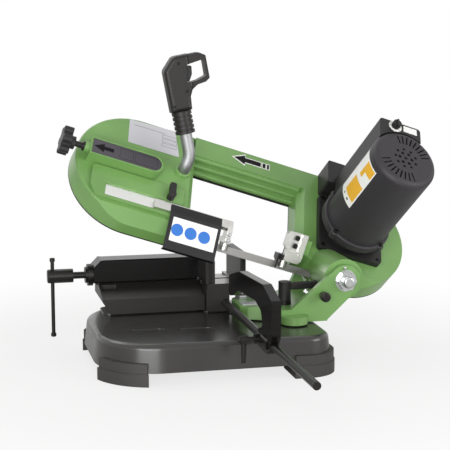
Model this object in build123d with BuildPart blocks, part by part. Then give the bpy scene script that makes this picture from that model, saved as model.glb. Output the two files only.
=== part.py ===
from build123d import *
import os
from math import cos, pi, radians, sin, sqrt

# Portable metal-cutting band saw. Millimetres, +X right, +Y back, +Z up.
# The origin is on the ground, under the middle of the base.

os.makedirs("parts", exist_ok=True)


def save(name, piece, colour):
    """Label one finished piece, colour it and write its STEP file."""
    piece.part.label = name
    piece.part.color = Color(*colour)
    export_step(piece.part, f"parts/{name}.step")


GREEN = (0.42, 0.66, 0.35)
BLACK = (0.06, 0.06, 0.06)
STEEL = (0.70, 0.70, 0.70)

# ------------------------------------------------------------------ clearances
seat_gap = 0.2          # flat faces that slide or turn on each other
slide_gap = 0.3         # a slider beside its guide
run_fit = 0.05          # radial clearance of a shaft in its bore
skin_gap = 0.3          # curved faces of different bodies

# ------------------------------------------------------------------ base pan
pan_length = 376.0
pan_width = 310.0
pan_top = 64.0
pan_wall = 3.0
pan_draft = 6.5
pan_left_corner = 100.0
pan_right_corner = 45.0
pan_edge = 9.0          # rounding of the top edge
pad_rise = 2.0          # raised pads under the castings
pad_top = pan_top + pad_rise

# ------------------------------------------------------------------ corner shoes
shoe_wall = 5.0
shoe_step = 1.6         # the lower block stands out from the upper band by this much
shoe_sole = 20.0        # height of the step that the pan's skirt stands on
shoe_height = 36.0
shoe_length = 70.0
shoe_width = 60.0
foot_bolt_in_x = 48.0   # from the pan's ends to the foot bolts
foot_bolt_in_y = 40.0
foot_bolt_x = pan_length - 2 * foot_bolt_in_x
foot_bolt_y = pan_width - 2 * foot_bolt_in_y
foot_bolt_hole = 6.6

# ------------------------------------------------------------------ bed and table
bed_left = -156.0
bed_front = 66.0
bed_step = 92.0         # height of the front wall
bed_back = 164.0
bed_ledge_back = 116.0
table_left = 21.0
table_neck = 60.0
table_right = 110.0
table_front = 50.0
table_back = 160.0
table_top = 114.0
table_thick = 18.0
groove_y = 98.0
groove_width = 8.0
groove_depth = 9.0

# ------------------------------------------------------------------ jaws and vise
jaw_height = 51.0
jaw_back = 155.0
fixed_jaw_x = 79.0
fixed_jaw_thick = 12.0
moving_jaw_x = 34.6     # the moving jaw's gripping face as it stands
moving_jaw_thick = 16.0
jaw_groove = 6.0
carriage_left = -163.0
carriage_front = 118.0
carriage_width = 44.0
carriage_height = 40.0
carriage_wall = 4.0
carriage_chamfer = 12.0
screw_radius = 6.0
screw_height = 122.0
collar_radius = 19.0
collar_thick = 9.0
screw_reach = 78.0      # from the carriage's end plate out to the end of the screw's head
head_radius = 12.0
head_length = 44.0
tommy_radius = 3.2
tommy_length = 132.0
tommy_knob = 4.6
tommy_drop = 37.0       # how far the bar's middle hangs below the screw
nut_length = 20.0
nut_x = -100.0

# ------------------------------------------------------------------ length stop
rod_radius = 6.0
rod_x = 52.6
rod_height = 81.0
rod_end = -478.0
arm_y = -241.0          # where the arm is clamped on the rod
arm_thick = 14.0
arm_floor = 3.0
clamp_radius = 4.0
clamp_step = 30.0       # from the arm's edge to its clamp screw
clamp_boss = 8.0

# ------------------------------------------------------------------ swivel arm
swivel_x = 80.0
swivel_y = 45.0
swivel_radius = 17.0
swivel_bolt_radius = 8.0
arm_bottom = pad_top + seat_gap
arm_plate_thick = 21.0
arm_right = 200.0
front_plate_y = -60.0
hinge_plate_thick = 10.0
rear_plate_y = 119.0
lock_x = 140.0
lock_y = -12.0
lock_radius = 7.0
lock_height = 126.0
pin_x = 191.0           # spring pin that holds the bow up
pin_z = 110.0
pin_radius = 5.0
pin_head = 8.0
lever_length = 50.0

# ------------------------------------------------------------------ hinge of the bow
hinge_x = 231.0
hinge_z = 132.5
hinge_radius = 10.0
hinge_eye = 26.0
rear_bolt_reach = 14.0
bow_rise = 18.2         # the bow stands raised by this angle

# ------------------------------------------------------------------ saw band and wheels
band_y = 45.0           # the cutting run stands upright in this plane
band_z = 115.0
band_width = 13.0
band_thick = 0.65
tooth_pitch = 3.0
tooth_depth = 1.2
wheel_radius = 98.0
wheel_width = 14.0
idler_x = -133.0
drive_x = 272.5
tension_travel = 4.0

# ------------------------------------------------------------------ bow casting
cast_rear = 31.0        # the casting's open back, across the wheels
cast_front = 73.0
cast_wall = 3.6
left_round_in = 6.0     # the housings' rounds stand in from the wheels' axles by these
right_round_in = 6.5
left_round_x = idler_x + left_round_in
right_round_x = drive_x - right_round_in
wheel_room = 8.4        # between the band on its wheel and the housing's wall
housing_radius = wheel_radius + wheel_room + cast_wall
rim_room = 5.4          # between the idler wheel's rim and the wall on its right
housing_right = idler_x + wheel_radius + rim_room + cast_wall
limb_left = 170.0
limb_foot = 28.0        # the limb's foot stands this far above the housing's lowest point
limb_floor = 4.0
flat_rise = 35.0        # the lower rim's flat reaches this far above the band's middle
slot_length = 46.0      # slots that the saw band runs through
slot_height = 11.0
beam_right = 243.0
beam_depth = 40.4
lower_flat_y = 34.0
cover_thick = 2.6
boss_radius = 34.0
barrel_radius = 22.0
barrel_rear = rear_plate_y - 0.5

limb_slant = 12.0
rib_radius = 4.5
pad_left = -219.0       # tension pad
pad_right = -90.0
pad_half = 18.5
pad_roof = 3.5
tension_w = 87.0        # axis of the tension screw
tension_radius = 5.0
screw_room = 1.5        # between the tension screw and the pad's roof
pad_top_w = tension_w + tension_radius + screw_room + pad_roof
knob_x = -268.0
knob_thick = 20.0
way_left = -179.0       # guideway and its raised band
way_low = 132.5
way_high = 158.5
way_floor = 72.0
way_band_left = -206.0
way_band_right = -43.0
way_band_low = 126.0
way_band_rise = 5.0
way_strip = 2.5
guide_left = -94.0
guide_right = 38.0
guide_height = 17.0
guide_thick = 8.3
guide_lever_x = -67.0
guide_lever_v = 164.0
guard_left = -65.0
guard_right = 26.0
guard_drop = 62.0
guard_thick = 2.0
guard_lean = 20.0
block_left = 140.0      # right guide block
block_right = 177.0
block_low = 127.0
block_high = 179.0
block_front = 28.0
block_thick = 12.0
block_screw_x = 19.0    # from the block's left side to its screws
roller_radius = 6.5
roller_height = 12.0
roller_lift = 0.6       # the lowered rollers end this far above the table
guide_head = 4.0        # the left guide head stands this far past its bar
tube_radius = 10.5
tube_foot_x = -49.0
tube_foot_v = 233.0
grip_y = 100.0
grip_x = -93.5
grip_z = 378.0
grip_thick = 34.0
grip_tilt = 29.1
ring_thick = 24.0
motor_x = 266.5
gear_plate = 121.0
gear_plate_thick = 11.0
collar_r = 51.0
collar_length = 16.0
flange_radius = 63.0
flange_thick = 14.0
motor_radius = 57.5
motor_length = 158.0
cap_length = 18.0
cable_box_width = 36.0
cable_box_height = 50.0
control_left = 221.5
control_right = 298.0
control_top = 290.0
control_start = 116.0
control_end = 287.0
dial_x = 250.5
dial_radius = 7.6

half = sqrt(0.5)
band_v = (band_y + band_z) * half
band_w = (band_z - band_y) * half
axle_v = band_v + wheel_radius + band_thick / 2 + skin_gap
return_v = 2 * axle_v - band_v
beam_top = axle_v + housing_radius
beam_low = beam_top - beam_depth
limb_low = axle_v - housing_radius + limb_foot

# The bow is drawn lowered, then stands raised about the hinge.
hinge_point = Location((hinge_x, 0, hinge_z))
bow_pose = hinge_point * Rotation(0, bow_rise, 0) * hinge_point.inverse()


def posed(plane):
    """A plane of the lowered bow, carried to the raised bow."""
    return Plane(bow_pose * plane.location)


def cast_plane(w):
    """Plane across the wheels: local x along the bow, y up the slope, w towards the front."""
    return posed(Plane(origin=(0, 0, 0), x_dir=(1, 0, 0), z_dir=(0, -1, 1)).offset(w))


def section_plane(x):
    """Cross-section of the bow at x: local x up the slope, local y towards the front."""
    return posed(Plane(origin=(x, 0, 0), x_dir=(0, 1, 1), z_dir=(1, 0, 0)))


def front_plane(y):
    """Upright plane of the bow at depth y, seen from the front: local x and z of the bow."""
    return posed(Plane.XZ.offset(-y))


def side_plane(x):
    """Upright cross-section of the bow at x: local x to the back, local y up."""
    return posed(Plane.YZ.offset(x))


def floor_plane(z):
    """Level plane of the lowered bow at height z."""
    return posed(Plane.XY.offset(z))


def slope_plane(v):
    """Plane across the slope at v: local x along the bow, local y towards the front."""
    return posed(Plane(origin=(0, v * half, v * half), x_dir=(1, 0, 0), z_dir=(0, -1, -1)))


def grip_plane(y):
    """Upright plane of the grip at depth y: local y along the handle."""
    across = (cos(radians(grip_tilt)), 0, sin(radians(grip_tilt)))
    return posed(Plane(origin=(grip_x, y, grip_z), x_dir=across, z_dir=(0, -1, 0)))


# ================================================================== base
def pan_outline(grow=0.0):
    """Footprint of the pan at the skirt's edge: large left corners, small right ones."""
    with BuildSketch(mode=Mode.PRIVATE) as outline:
        Rectangle(pan_length + 2 * grow, pan_width + 2 * grow)
        fillet(outline.vertices().group_by(Axis.X)[0], pan_left_corner + grow)
        fillet(outline.vertices().group_by(Axis.X)[-1], pan_right_corner + grow)
    return outline.sketch


with BuildPart() as base_pan:
    with BuildSketch(Plane.XY.offset(shoe_sole)):
        add(pan_outline())
    extrude(amount=pan_top - shoe_sole, taper=pan_draft)
    fillet(base_pan.faces().sort_by(Axis.Z)[-1].edges(), pan_edge)
    with BuildSketch(Plane.XY.offset(shoe_sole)):
        add(pan_outline(-pan_wall))
    extrude(amount=pan_top - shoe_sole - pan_wall, taper=pan_draft, mode=Mode.SUBTRACT)
    with BuildSketch(Plane.XY.offset(pan_top - pan_wall)):
        with Locations(((bed_left + table_left) / 2, (bed_front + bed_back) / 2 - 12)):
            RectangleRounded(table_left - bed_left - 6, bed_back - bed_front - 40, 12)
        with Locations(((table_left + table_neck) / 2, (table_front + table_back) / 2 - 8)):
            RectangleRounded(table_neck - table_left + 6, table_back - table_front - 30, 6)
        with Locations((swivel_x, swivel_y)):
            Circle(swivel_radius + 5)
    extrude(amount=pan_wall + pad_rise)
    with BuildSketch(Plane.XY.offset(pan_top)):
        with Locations((-100, -58), (-22, -66)):
            RectangleRounded(58, 34, 10)
    extrude(amount=-1.2, mode=Mode.SUBTRACT)
    with Locations(Plane.XY.offset(pad_top)):
        with Locations((swivel_x, swivel_y)):
            Hole(swivel_bolt_radius + run_fit, depth=pad_rise + 2 * pan_wall)
save("base_pan", base_pan, BLACK)

with BuildPart() as corner_shoes:
    for block_height, block_grow in ((shoe_height, 0), (shoe_sole, shoe_step)):
        with BuildSketch():
            with GridLocations(pan_length, pan_width, 2, 2):
                Rectangle(2 * (shoe_length + block_grow), 2 * (shoe_width + block_grow))
            add(pan_outline(shoe_wall + block_grow), mode=Mode.INTERSECT)
        extrude(amount=block_height)
    with BuildSketch(Plane.XY.offset(shoe_sole)):
        add(pan_outline())
    extrude(amount=shoe_height, taper=pan_draft, mode=Mode.SUBTRACT)
    with Locations(Plane.XY.offset(shoe_sole)):
        with GridLocations(foot_bolt_x, foot_bolt_y, 2, 2):
            Hole(foot_bolt_hole / 2, depth=shoe_sole)
save("corner_shoes", corner_shoes, BLACK)

with BuildPart() as vise_bed:
    bed_top = table_top - seat_gap - 4.1
    with BuildSketch(Plane.YZ.offset(bed_left)):
        with BuildLine():
            Polyline(
                (bed_front, pad_top),
                (bed_front, bed_step),
                (bed_ledge_back, bed_top),
                (bed_back, bed_top),
                (bed_back, pad_top),
                close=True,
            )
        make_face()
    extrude(amount=table_left - bed_left - 1)
    # Undercut of the left end.
    with BuildSketch(Plane.XZ.offset(-bed_front)):
        with BuildLine():
            Polyline((bed_left, pad_top), (bed_left + 14, pad_top), (bed_left, pad_top + 22), close=True)
        make_face()
    extrude(amount=-(bed_back - bed_front), mode=Mode.SUBTRACT)
    # Pocket in the ledge beside the left end.
    with BuildSketch(Plane.XY.offset(bed_top)):
        with Locations((bed_left + 17, bed_ledge_back - 13)):
            RectangleRounded(28, 16, 4)
    extrude(amount=-12, mode=Mode.SUBTRACT)
    # Seat of the vise nut's foot.
    with BuildSketch(Plane.XY.offset(bed_top)):
        with Locations((nut_x, carriage_front + carriage_width / 2)):
            Rectangle(nut_length, 12)
    extrude(amount=-6, mode=Mode.SUBTRACT)
    # Trough that the collar of the vise screw runs in.
    with BuildSketch(Plane.YZ.offset(bed_left - 1)):
        with Locations((carriage_front + carriage_width / 2, screw_height)):
            Circle(collar_radius + 0.6)
    extrude(amount=nut_x - nut_length / 2 - 1 - bed_left, mode=Mode.SUBTRACT)
save("vise_bed", vise_bed, BLACK)

with BuildPart() as table_block:
    with BuildSketch(Plane.XZ.offset(-table_front)):
        with BuildLine():
            Polyline(
                (table_left, pad_top),
                (table_neck, pad_top),
                (table_neck, table_top - table_thick),
                (table_right, table_top - table_thick),
                (table_right, table_top),
                (table_left, table_top),
                close=True,
            )
        make_face()
    extrude(amount=-(table_back - table_front))
    # Groove that guides the moving jaw's tongue.
    with BuildSketch(Plane.XY.offset(table_top)):
        with Locations(((table_left + table_right) / 2, groove_y)):
            Rectangle(table_right - table_left, groove_width)
    extrude(amount=-groove_depth, mode=Mode.SUBTRACT)
    # Relief behind the fixed jaw's seat, where the vise carriage slides in.
    with BuildSketch(Plane.XY.offset(bed_top)):
        with Locations(((table_left + fixed_jaw_x) / 2 - 4, (carriage_front + table_back) / 2)):
            Rectangle(fixed_jaw_x - table_left - 6, table_back - carriage_front + 1)
    extrude(amount=table_thick, mode=Mode.SUBTRACT)
    # Bore of the stop rod.
    with Locations(Plane.XZ.offset(-table_front)):
        with Locations((rod_x, rod_height)):
            Hole(rod_radius + run_fit, depth=table_back - table_front)
    # Relief that lets the band pass in a mitre cut.
    with BuildSketch(Plane(origin=(swivel_x, swivel_y, table_top), x_dir=(1, 1, 0), z_dir=(0, 0, 1))):
        Rectangle(120, 5)
    extrude(amount=-11, mode=Mode.SUBTRACT)
save("table_block", table_block, BLACK)

with BuildPart() as fixed_jaw:
    with BuildSketch(Plane.XY.offset(table_top)):
        with BuildLine():
            Polyline(
                (fixed_jaw_x, table_front),
                (fixed_jaw_x + 2, table_front),
                (fixed_jaw_x + fixed_jaw_thick, table_front + fixed_jaw_thick - 2),
                (fixed_jaw_x + fixed_jaw_thick, jaw_back),
                (fixed_jaw_x, jaw_back),
                close=True,
            )
        make_face()
    extrude(amount=jaw_height)
    fillet(fixed_jaw.faces().sort_by(Axis.Z)[-1].edges(), 1.0)
save("fixed_jaw", fixed_jaw, BLACK)

with BuildPart() as swivel_bolt:
    arm_top = arm_bottom + arm_plate_thick
    with BuildSketch(Plane.XY.offset(pan_top - pan_wall)):
        with Locations((swivel_x, swivel_y)):
            Circle(swivel_bolt_radius)
    extrude(amount=arm_top + seat_gap - pan_top + pan_wall)
    with BuildSketch(Plane.XY.offset(arm_top + seat_gap)):
        with Locations((swivel_x, swivel_y)):
            RegularPolygon(11.5, 6)
    extrude(amount=7)
    fillet(swivel_bolt.faces().sort_by(Axis.Z)[-1].edges(), 1.2)
save("swivel_bolt", swivel_bolt, STEEL)

# ================================================================== vise
screw_y = carriage_front + carriage_width / 2
carriage_bottom = bed_top + seat_gap
carriage_top = carriage_bottom + carriage_height
with BuildPart() as vise_carriage:
    with BuildSketch(Plane.YZ.offset(carriage_left)):
        with Locations((screw_y, carriage_bottom + carriage_height / 2)):
            RectangleRounded(carriage_width, carriage_height, 3)
    extrude(amount=moving_jaw_x - moving_jaw_thick - carriage_left)
    with BuildSketch(Plane.YZ.offset(carriage_left + carriage_wall)):
        with Locations((screw_y, carriage_bottom + carriage_height / 2)):
            Rectangle(carriage_width - 2 * carriage_wall, carriage_height - 2 * carriage_wall)
    extrude(amount=moving_jaw_x - moving_jaw_thick - carriage_left, mode=Mode.SUBTRACT)
    with BuildSketch(Plane.XZ.offset(-carriage_front)):
        with BuildLine():
            Polyline(
                (carriage_left, carriage_top),
                (carriage_left + carriage_chamfer, carriage_top),
                (carriage_left, carriage_top - carriage_chamfer),
                close=True,
            )
        make_face()
    extrude(amount=-carriage_width, mode=Mode.SUBTRACT)
    # The chamfered end stays closed by a slanted wall.
    with BuildSketch(Plane.XZ.offset(-carriage_front)):
        with BuildLine():
            Polyline(
                (carriage_left, carriage_top - carriage_chamfer),
                (carriage_left + carriage_chamfer, carriage_top),
                (carriage_left + carriage_chamfer + carriage_wall, carriage_top),
                (carriage_left + carriage_chamfer + carriage_wall, carriage_top - carriage_wall),
                (carriage_left + carriage_wall, carriage_top - carriage_chamfer - carriage_wall),
                (carriage_left, carriage_top - carriage_chamfer - carriage_wall),
                close=True,
            )
        make_face()
    extrude(amount=-carriage_width)
    # Slot in the floor for the foot of the fixed nut.
    with BuildSketch(Plane.XY.offset(carriage_bottom)):
        with Locations(((carriage_left + moving_jaw_x) / 2 - 34, screw_y)):
            Rectangle(118, 14)
    extrude(amount=carriage_wall, mode=Mode.SUBTRACT)
    # Bearing of the screw in the end plate.
    with Locations(Plane.YZ.offset(carriage_left)):
        with Locations((screw_y, screw_height)):
            Hole(screw_radius + run_fit, depth=carriage_wall)
save("vise_carriage", vise_carriage, BLACK)

with BuildPart() as moving_jaw:
    with BuildSketch(Plane.YZ.offset(moving_jaw_x - moving_jaw_thick)):
        with BuildLine():
            Polyline(
                (table_front, table_top + slide_gap),
                (table_front, table_top + jaw_height - 13),
                (table_front + 13, table_top + jaw_height),
                (jaw_back, table_top + jaw_height),
                (jaw_back, table_top + slide_gap),
                close=True,
            )
        make_face()
    extrude(amount=moving_jaw_thick)
    # Upright groove in the front edge.
    with BuildSketch(Plane.XY.offset(table_top)):
        with Locations((moving_jaw_x - moving_jaw_thick / 2, table_front)):
            Rectangle(jaw_groove, 8)
    extrude(amount=jaw_height, mode=Mode.SUBTRACT)
    # Tongue that runs in the table's groove.
    with BuildSketch(Plane.XY.offset(table_top + slide_gap)):
        with Locations((moving_jaw_x - moving_jaw_thick / 2, groove_y)):
            Rectangle(moving_jaw_thick, groove_width - 2 * slide_gap)
    extrude(amount=-(groove_depth - 1.5))
save("moving_jaw", moving_jaw, BLACK)

with BuildPart() as vise_screw:
    collar_face = carriage_left - seat_gap
    with BuildSketch(Plane.YZ.offset(collar_face - collar_thick - 4)):
        with Locations((screw_y, screw_height)):
            Circle(collar_radius - 5)
    extrude(amount=collar_thick + 4)
    with BuildSketch(Plane.YZ.offset(collar_face - collar_thick)):
        with Locations((screw_y, screw_height)):
            Circle(collar_radius)
    extrude(amount=collar_thick)
    with BuildSketch(Plane.YZ.offset(carriage_left - screw_reach)):
        with Locations((screw_y, screw_height)):
            Circle(head_radius)
    extrude(amount=head_length)
    with BuildSketch(Plane.YZ.offset(carriage_left - screw_reach)):
        with Locations((screw_y, screw_height)):
            Circle(screw_radius)
    extrude(amount=screw_reach + moving_jaw_x - moving_jaw_thick - 8 - carriage_left)
    head_end = vise_screw.faces().filter_by(Axis.X).sort_by(Axis.X)[0]
    chamfer(head_end.edges(), 1.5)
    # Cross hole for the tommy bar, near the outer end of the head.
    tommy_x = carriage_left - screw_reach + 9
    with BuildSketch(Plane.XY.offset(screw_height)):
        with Locations((tommy_x, screw_y)):
            Circle(tommy_radius + run_fit)
    extrude(amount=head_radius + 1, both=True, mode=Mode.SUBTRACT)
save("vise_screw", vise_screw, STEEL)

with BuildPart() as tommy_bar:
    with BuildSketch(Plane.XY.offset(screw_height - tommy_drop - tommy_length / 2)):
        with Locations((tommy_x, screw_y)):
            Circle(tommy_radius)
    extrude(amount=tommy_length)
    tommy_middle = screw_height - tommy_drop
    tommy_ends = (tommy_middle - tommy_length / 2, tommy_middle + tommy_length / 2)
    for end_z in tommy_ends:
        with BuildSketch(Plane.XY.offset(end_z - 3)):
            with Locations((tommy_x, screw_y)):
                Circle(tommy_knob)
        extrude(amount=6)
    chamfer(tommy_bar.faces().filter_by(Axis.Z).group_by(SortBy.AREA)[-1].edges(), 1.0)
save("tommy_bar", tommy_bar, BLACK)

with BuildPart() as vise_nut:
    with BuildSketch(Plane.YZ.offset(nut_x - nut_length / 2)):
        with Locations((screw_y, screw_height)):
            Rectangle(26, 14)
        with Locations((screw_y, (bed_top - 6 + screw_height) / 2)):
            Rectangle(11.6, screw_height - bed_top + 6)
        with Locations((screw_y, screw_height)):
            Circle(screw_radius + run_fit, mode=Mode.SUBTRACT)
    extrude(amount=nut_length)
save("vise_nut", vise_nut, STEEL)

# ================================================================== length stop
with BuildPart() as stop_rod:
    with BuildSketch(Plane.XZ.offset(-rod_end)):
        with Locations((rod_x, rod_height)):
            Circle(rod_radius)
    extrude(amount=-(table_front + 45 - rod_end))
    chamfer(stop_rod.faces().sort_by(Axis.Y)[0].edges(), 1.0)
save("stop_rod", stop_rod, STEEL)

arm_left = rod_x - arm_thick / 2
with BuildPart() as stop_arm:
    # Side outline of the C-shaped arm, from the clamp up and back over to the stop head.
    with BuildSketch(Plane.YZ.offset(arm_left)) as arm_outline:
        with BuildLine():
            Polyline(
                (arm_y + 46, rod_height - 14),
                (arm_y - 14, rod_height - 14),
                (arm_y - 36, rod_height + 18),
                (arm_y - 36, rod_height + 70),
                (arm_y + 18, rod_height + 86),
                (-74, rod_height + 78),
                (-8, rod_height + 60),
                (-2, rod_height + 28),
                (-16, rod_height + 26),
                (-72, rod_height + 46),
                (arm_y + 62, rod_height + 52),
                (arm_y + 28, rod_height + 44),
                (arm_y + 16, rod_height + 22),
                (arm_y + 46, rod_height + 12),
                close=True,
            )
        make_face()
        fillet(arm_outline.vertices(), 6)
    extrude(amount=arm_thick)
    # The left side is hollowed between a rim and ribs.
    with BuildSketch(Plane.YZ.offset(arm_left)):
        add(arm_outline.sketch)
        offset(amount=-3.2, mode=Mode.REPLACE)
        for rib in range(9):
            rib_y = arm_y - 14 + rib * 27
            with Locations(Location((rib_y, rod_height + 60), -28)):
                Rectangle(2.6, 70, mode=Mode.SUBTRACT)
        with Locations((arm_y - 26, rod_height + 32)):
            Rectangle(30, 2.6, mode=Mode.SUBTRACT)
        with Locations((arm_y + 6, rod_height)):
            Rectangle(84, 20, mode=Mode.SUBTRACT)
    extrude(amount=arm_thick - arm_floor, mode=Mode.SUBTRACT)
    # Clamp hub round the rod.
    with BuildSketch(Plane.XZ.offset(-(arm_y - 12))):
        with Locations((rod_x, rod_height)):
            Circle(rod_radius + 4.5)
    extrude(amount=-56)
    # Boss of the clamp screw on the left, then the bores of the rod and the screw.
    with BuildSketch(Plane.YZ.offset(rod_x)):
        with Locations((arm_y + clamp_step, rod_height)):
            Circle(clamp_boss)
    extrude(amount=-16)
    with BuildSketch(Plane.XZ.offset(-(arm_y - 40))):
        with Locations((rod_x, rod_height)):
            Circle(rod_radius + run_fit)
    extrude(amount=-120, mode=Mode.SUBTRACT)
    with BuildSketch(Plane.YZ.offset(rod_x)):
        with Locations((arm_y + clamp_step, rod_height)):
            Circle(clamp_radius + run_fit)
    extrude(amount=-20, mode=Mode.SUBTRACT)
save("stop_arm", stop_arm, BLACK)

with BuildPart() as stop_clamp_screw:
    clamp_y = arm_y + clamp_step
    clamp_tip = rod_x - rod_radius - slide_gap
    with BuildSketch(Plane.YZ.offset(clamp_tip)):
        with Locations((clamp_y, rod_height)):
            Circle(clamp_radius)
    extrude(amount=-36)
    # Hanging handle and the rounded end of the screw.
    with BuildSketch(Plane.YZ.offset(clamp_tip - 33)):
        with Locations((clamp_y, rod_height)):
            Circle(6.5)
    extrude(amount=13)
    with BuildSketch(Plane.XY.offset(rod_height)):
        with Locations((clamp_tip - 26.5, clamp_y)):
            Circle(4.6)
    extrude(amount=-36, taper=2)
    fillet(stop_clamp_screw.faces().sort_by(Axis.X)[0].edges(), 2.5)
save("stop_clamp_screw", stop_clamp_screw, BLACK)

# ================================================================== swivel arm
front_eye_x = (138.0, 198.0)
with BuildPart() as swivel_arm:
    with BuildSketch(Plane.XY.offset(arm_bottom)) as arm_plan:
        with BuildLine():
            Polyline(
                (swivel_x - 17, swivel_y),
                (swivel_x - 17, -10),
                (swivel_x - 6, -22),
                (lock_x - 14, front_plate_y + 14),
                (lock_x, front_plate_y),
                (arm_right, front_plate_y),
                (arm_right, rear_plate_y + hinge_plate_thick),
                (187, rear_plate_y + hinge_plate_thick),
                (150, 92),
                (114, 62),
                (swivel_x, swivel_y + 17),
                close=True,
            )
        make_face()
        fillet(arm_plan.vertices().sort_by(Axis.X)[2:4], 5)
        with Locations((swivel_x, swivel_y)):
            Circle(swivel_radius)
        with Locations((lock_x + 2, front_plate_y - 4)):
            Circle(22)
    extrude(amount=arm_plate_thick)
    # The foot in front is lower than the plate.
    with BuildSketch(Plane.XY.offset(arm_bottom + arm_plate_thick - 8)):
        with Locations((lock_x + 2, front_plate_y - 16)):
            Rectangle(60, 32)
    extrude(amount=20, mode=Mode.SUBTRACT)
    # Front hinge plate: a leaning web with a round eye.
    with BuildSketch(Plane.XZ.offset(-front_plate_y)):
        with BuildLine() as front_hull:
            Polyline(
                (front_eye_x[0] - 18, arm_bottom),
                (front_eye_x[1], arm_bottom),
                (front_eye_x[0], arm_bottom + arm_plate_thick),
                close=True,
            )
            CenterArc((hinge_x, hinge_z), hinge_eye, 0, 360)
        make_hull(front_hull.edges())
    extrude(amount=-hinge_plate_thick)
    # Rear hinge plate.
    with BuildSketch(Plane.XZ.offset(-rear_plate_y)):
        with BuildLine() as rear_hull:
            Polyline((187, arm_bottom), (arm_right, arm_bottom), (188, arm_bottom + 30), close=True)
            CenterArc((hinge_x, hinge_z), hinge_eye - 3, 0, 360)
        make_hull(rear_hull.edges())
    extrude(amount=-hinge_plate_thick)
    # Stiffening wall between plate and web.
    with BuildSketch(Plane.XY.offset(arm_top)):
        with Locations((lock_x + 36, front_plate_y + hinge_plate_thick + 2)):
            Rectangle(44, 4)
    extrude(amount=6)
    # Bores.
    with Locations(Plane.XY.offset(arm_top)):
        with Locations((swivel_x, swivel_y)):
            Hole(swivel_bolt_radius + run_fit, depth=arm_plate_thick)
    with BuildSketch(Plane.XZ.offset(-front_plate_y)):
        with Locations((hinge_x, hinge_z)):
            Circle(hinge_radius + run_fit)
        with Locations((pin_x, pin_z)):
            Circle(pin_radius + run_fit)
    extrude(amount=-hinge_plate_thick, mode=Mode.SUBTRACT)
    with BuildSketch(Plane.XZ.offset(-rear_plate_y)):
        with Locations((hinge_x, hinge_z)):
            Circle(hinge_radius + run_fit)
    extrude(amount=-hinge_plate_thick, mode=Mode.SUBTRACT)
    with Locations(Plane.XY.offset(arm_top)):
        with Locations((lock_x, lock_y)):
            Hole(lock_radius + run_fit, depth=arm_plate_thick)
save("swivel_arm", swivel_arm, GREEN)

with BuildPart() as mitre_scale:
    with BuildSketch(Plane.XY.offset(arm_top)):
        with Locations((swivel_x + 6, swivel_y - 40)):
            RectangleRounded(34, 22, 3)
    extrude(amount=1.0)
save("mitre_scale", mitre_scale, STEEL)

with BuildPart() as lock_post:
    with BuildSketch(Plane.XY.offset(arm_bottom)):
        with Locations((lock_x, lock_y)):
            Circle(lock_radius)
    extrude(amount=lock_height - 16 - arm_bottom)
    with BuildSketch(Plane.XY.offset(arm_top)):
        with Locations((lock_x, lock_y)):
            Circle(lock_radius + 4)
    extrude(amount=6)
save("lock_post", lock_post, BLACK)

with BuildPart() as lock_lever:
    lever_bottom = arm_top + 6 + seat_gap
    with BuildSketch(Plane.XY.offset(lever_bottom)):
        with Locations((lock_x, lock_y)):
            Circle(lock_radius + 3.5)
    extrude(amount=lock_height - lever_bottom)
    with BuildSketch(Plane.YZ.offset(lock_x)):
        with Locations((lock_y, lock_height - 8)):
            RectangleRounded(10, 12, 2)
    extrude(amount=lever_length)
    with BuildSketch(Plane.XY.offset(lever_bottom)):
        with Locations((lock_x, lock_y)):
            Circle(lock_radius + run_fit)
    extrude(amount=lock_height - 16 - lever_bottom + seat_gap, mode=Mode.SUBTRACT)
    with BuildSketch(Plane.YZ.offset(lock_x + lever_length)):
        with Locations((lock_y, lock_height - 8)):
            RectangleRounded(11.5, 13.5, 2.5)
    extrude(amount=6)
save("lock_lever", lock_lever, BLACK)

with BuildPart() as hinge_bolt_front:
    bore_end = 14.0
    with BuildSketch(Plane.XZ.offset(-(front_plate_y - 22))):
        with Locations((hinge_x, hinge_z)):
            Circle(hinge_radius)
    extrude(amount=-(bore_end - front_plate_y + 22))
    fillet(hinge_bolt_front.faces().sort_by(Axis.Y)[0].edges(), 4)
save("hinge_bolt_front", hinge_bolt_front, STEEL)

with BuildPart() as hinge_nut:
    with BuildSketch(Plane.XZ.offset(-front_plate_y)):
        with Locations((hinge_x, hinge_z)):
            Circle(hinge_radius + 8)
            Circle(hinge_radius, mode=Mode.SUBTRACT)
    extrude(amount=2.5)
    with BuildSketch(Plane.XZ.offset(-front_plate_y + 2.5)):
        with Locations((hinge_x, hinge_z)):
            RegularPolygon(hinge_radius + 6, 6)
            Circle(hinge_radius, mode=Mode.SUBTRACT)
    extrude(amount=10)
    # Grease nipple beside the nut.
    with BuildSketch(Plane.XZ.offset(-front_plate_y)):
        with Locations((hinge_x - 2, hinge_z + hinge_eye - 4.4)):
            Circle(2.6)
    extrude(amount=3)
    with Locations((hinge_x - 2, front_plate_y - 3, hinge_z + hinge_eye - 4.4)):
        Sphere(2.2)
save("hinge_nut", hinge_nut, STEEL)

with BuildPart() as hinge_bolt_rear:
    with BuildSketch(Plane.XZ.offset(-(rear_plate_y - rear_bolt_reach))):
        with Locations((hinge_x, hinge_z)):
            Circle(hinge_radius)
    extrude(amount=-(rear_bolt_reach + hinge_plate_thick))
    with BuildSketch(Plane.XZ.offset(-(rear_plate_y + hinge_plate_thick))):
        with Locations((hinge_x, hinge_z)):
            RegularPolygon(hinge_radius + 6, 6)
    extrude(amount=-8)
save("hinge_bolt_rear", hinge_bolt_rear, STEEL)

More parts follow.
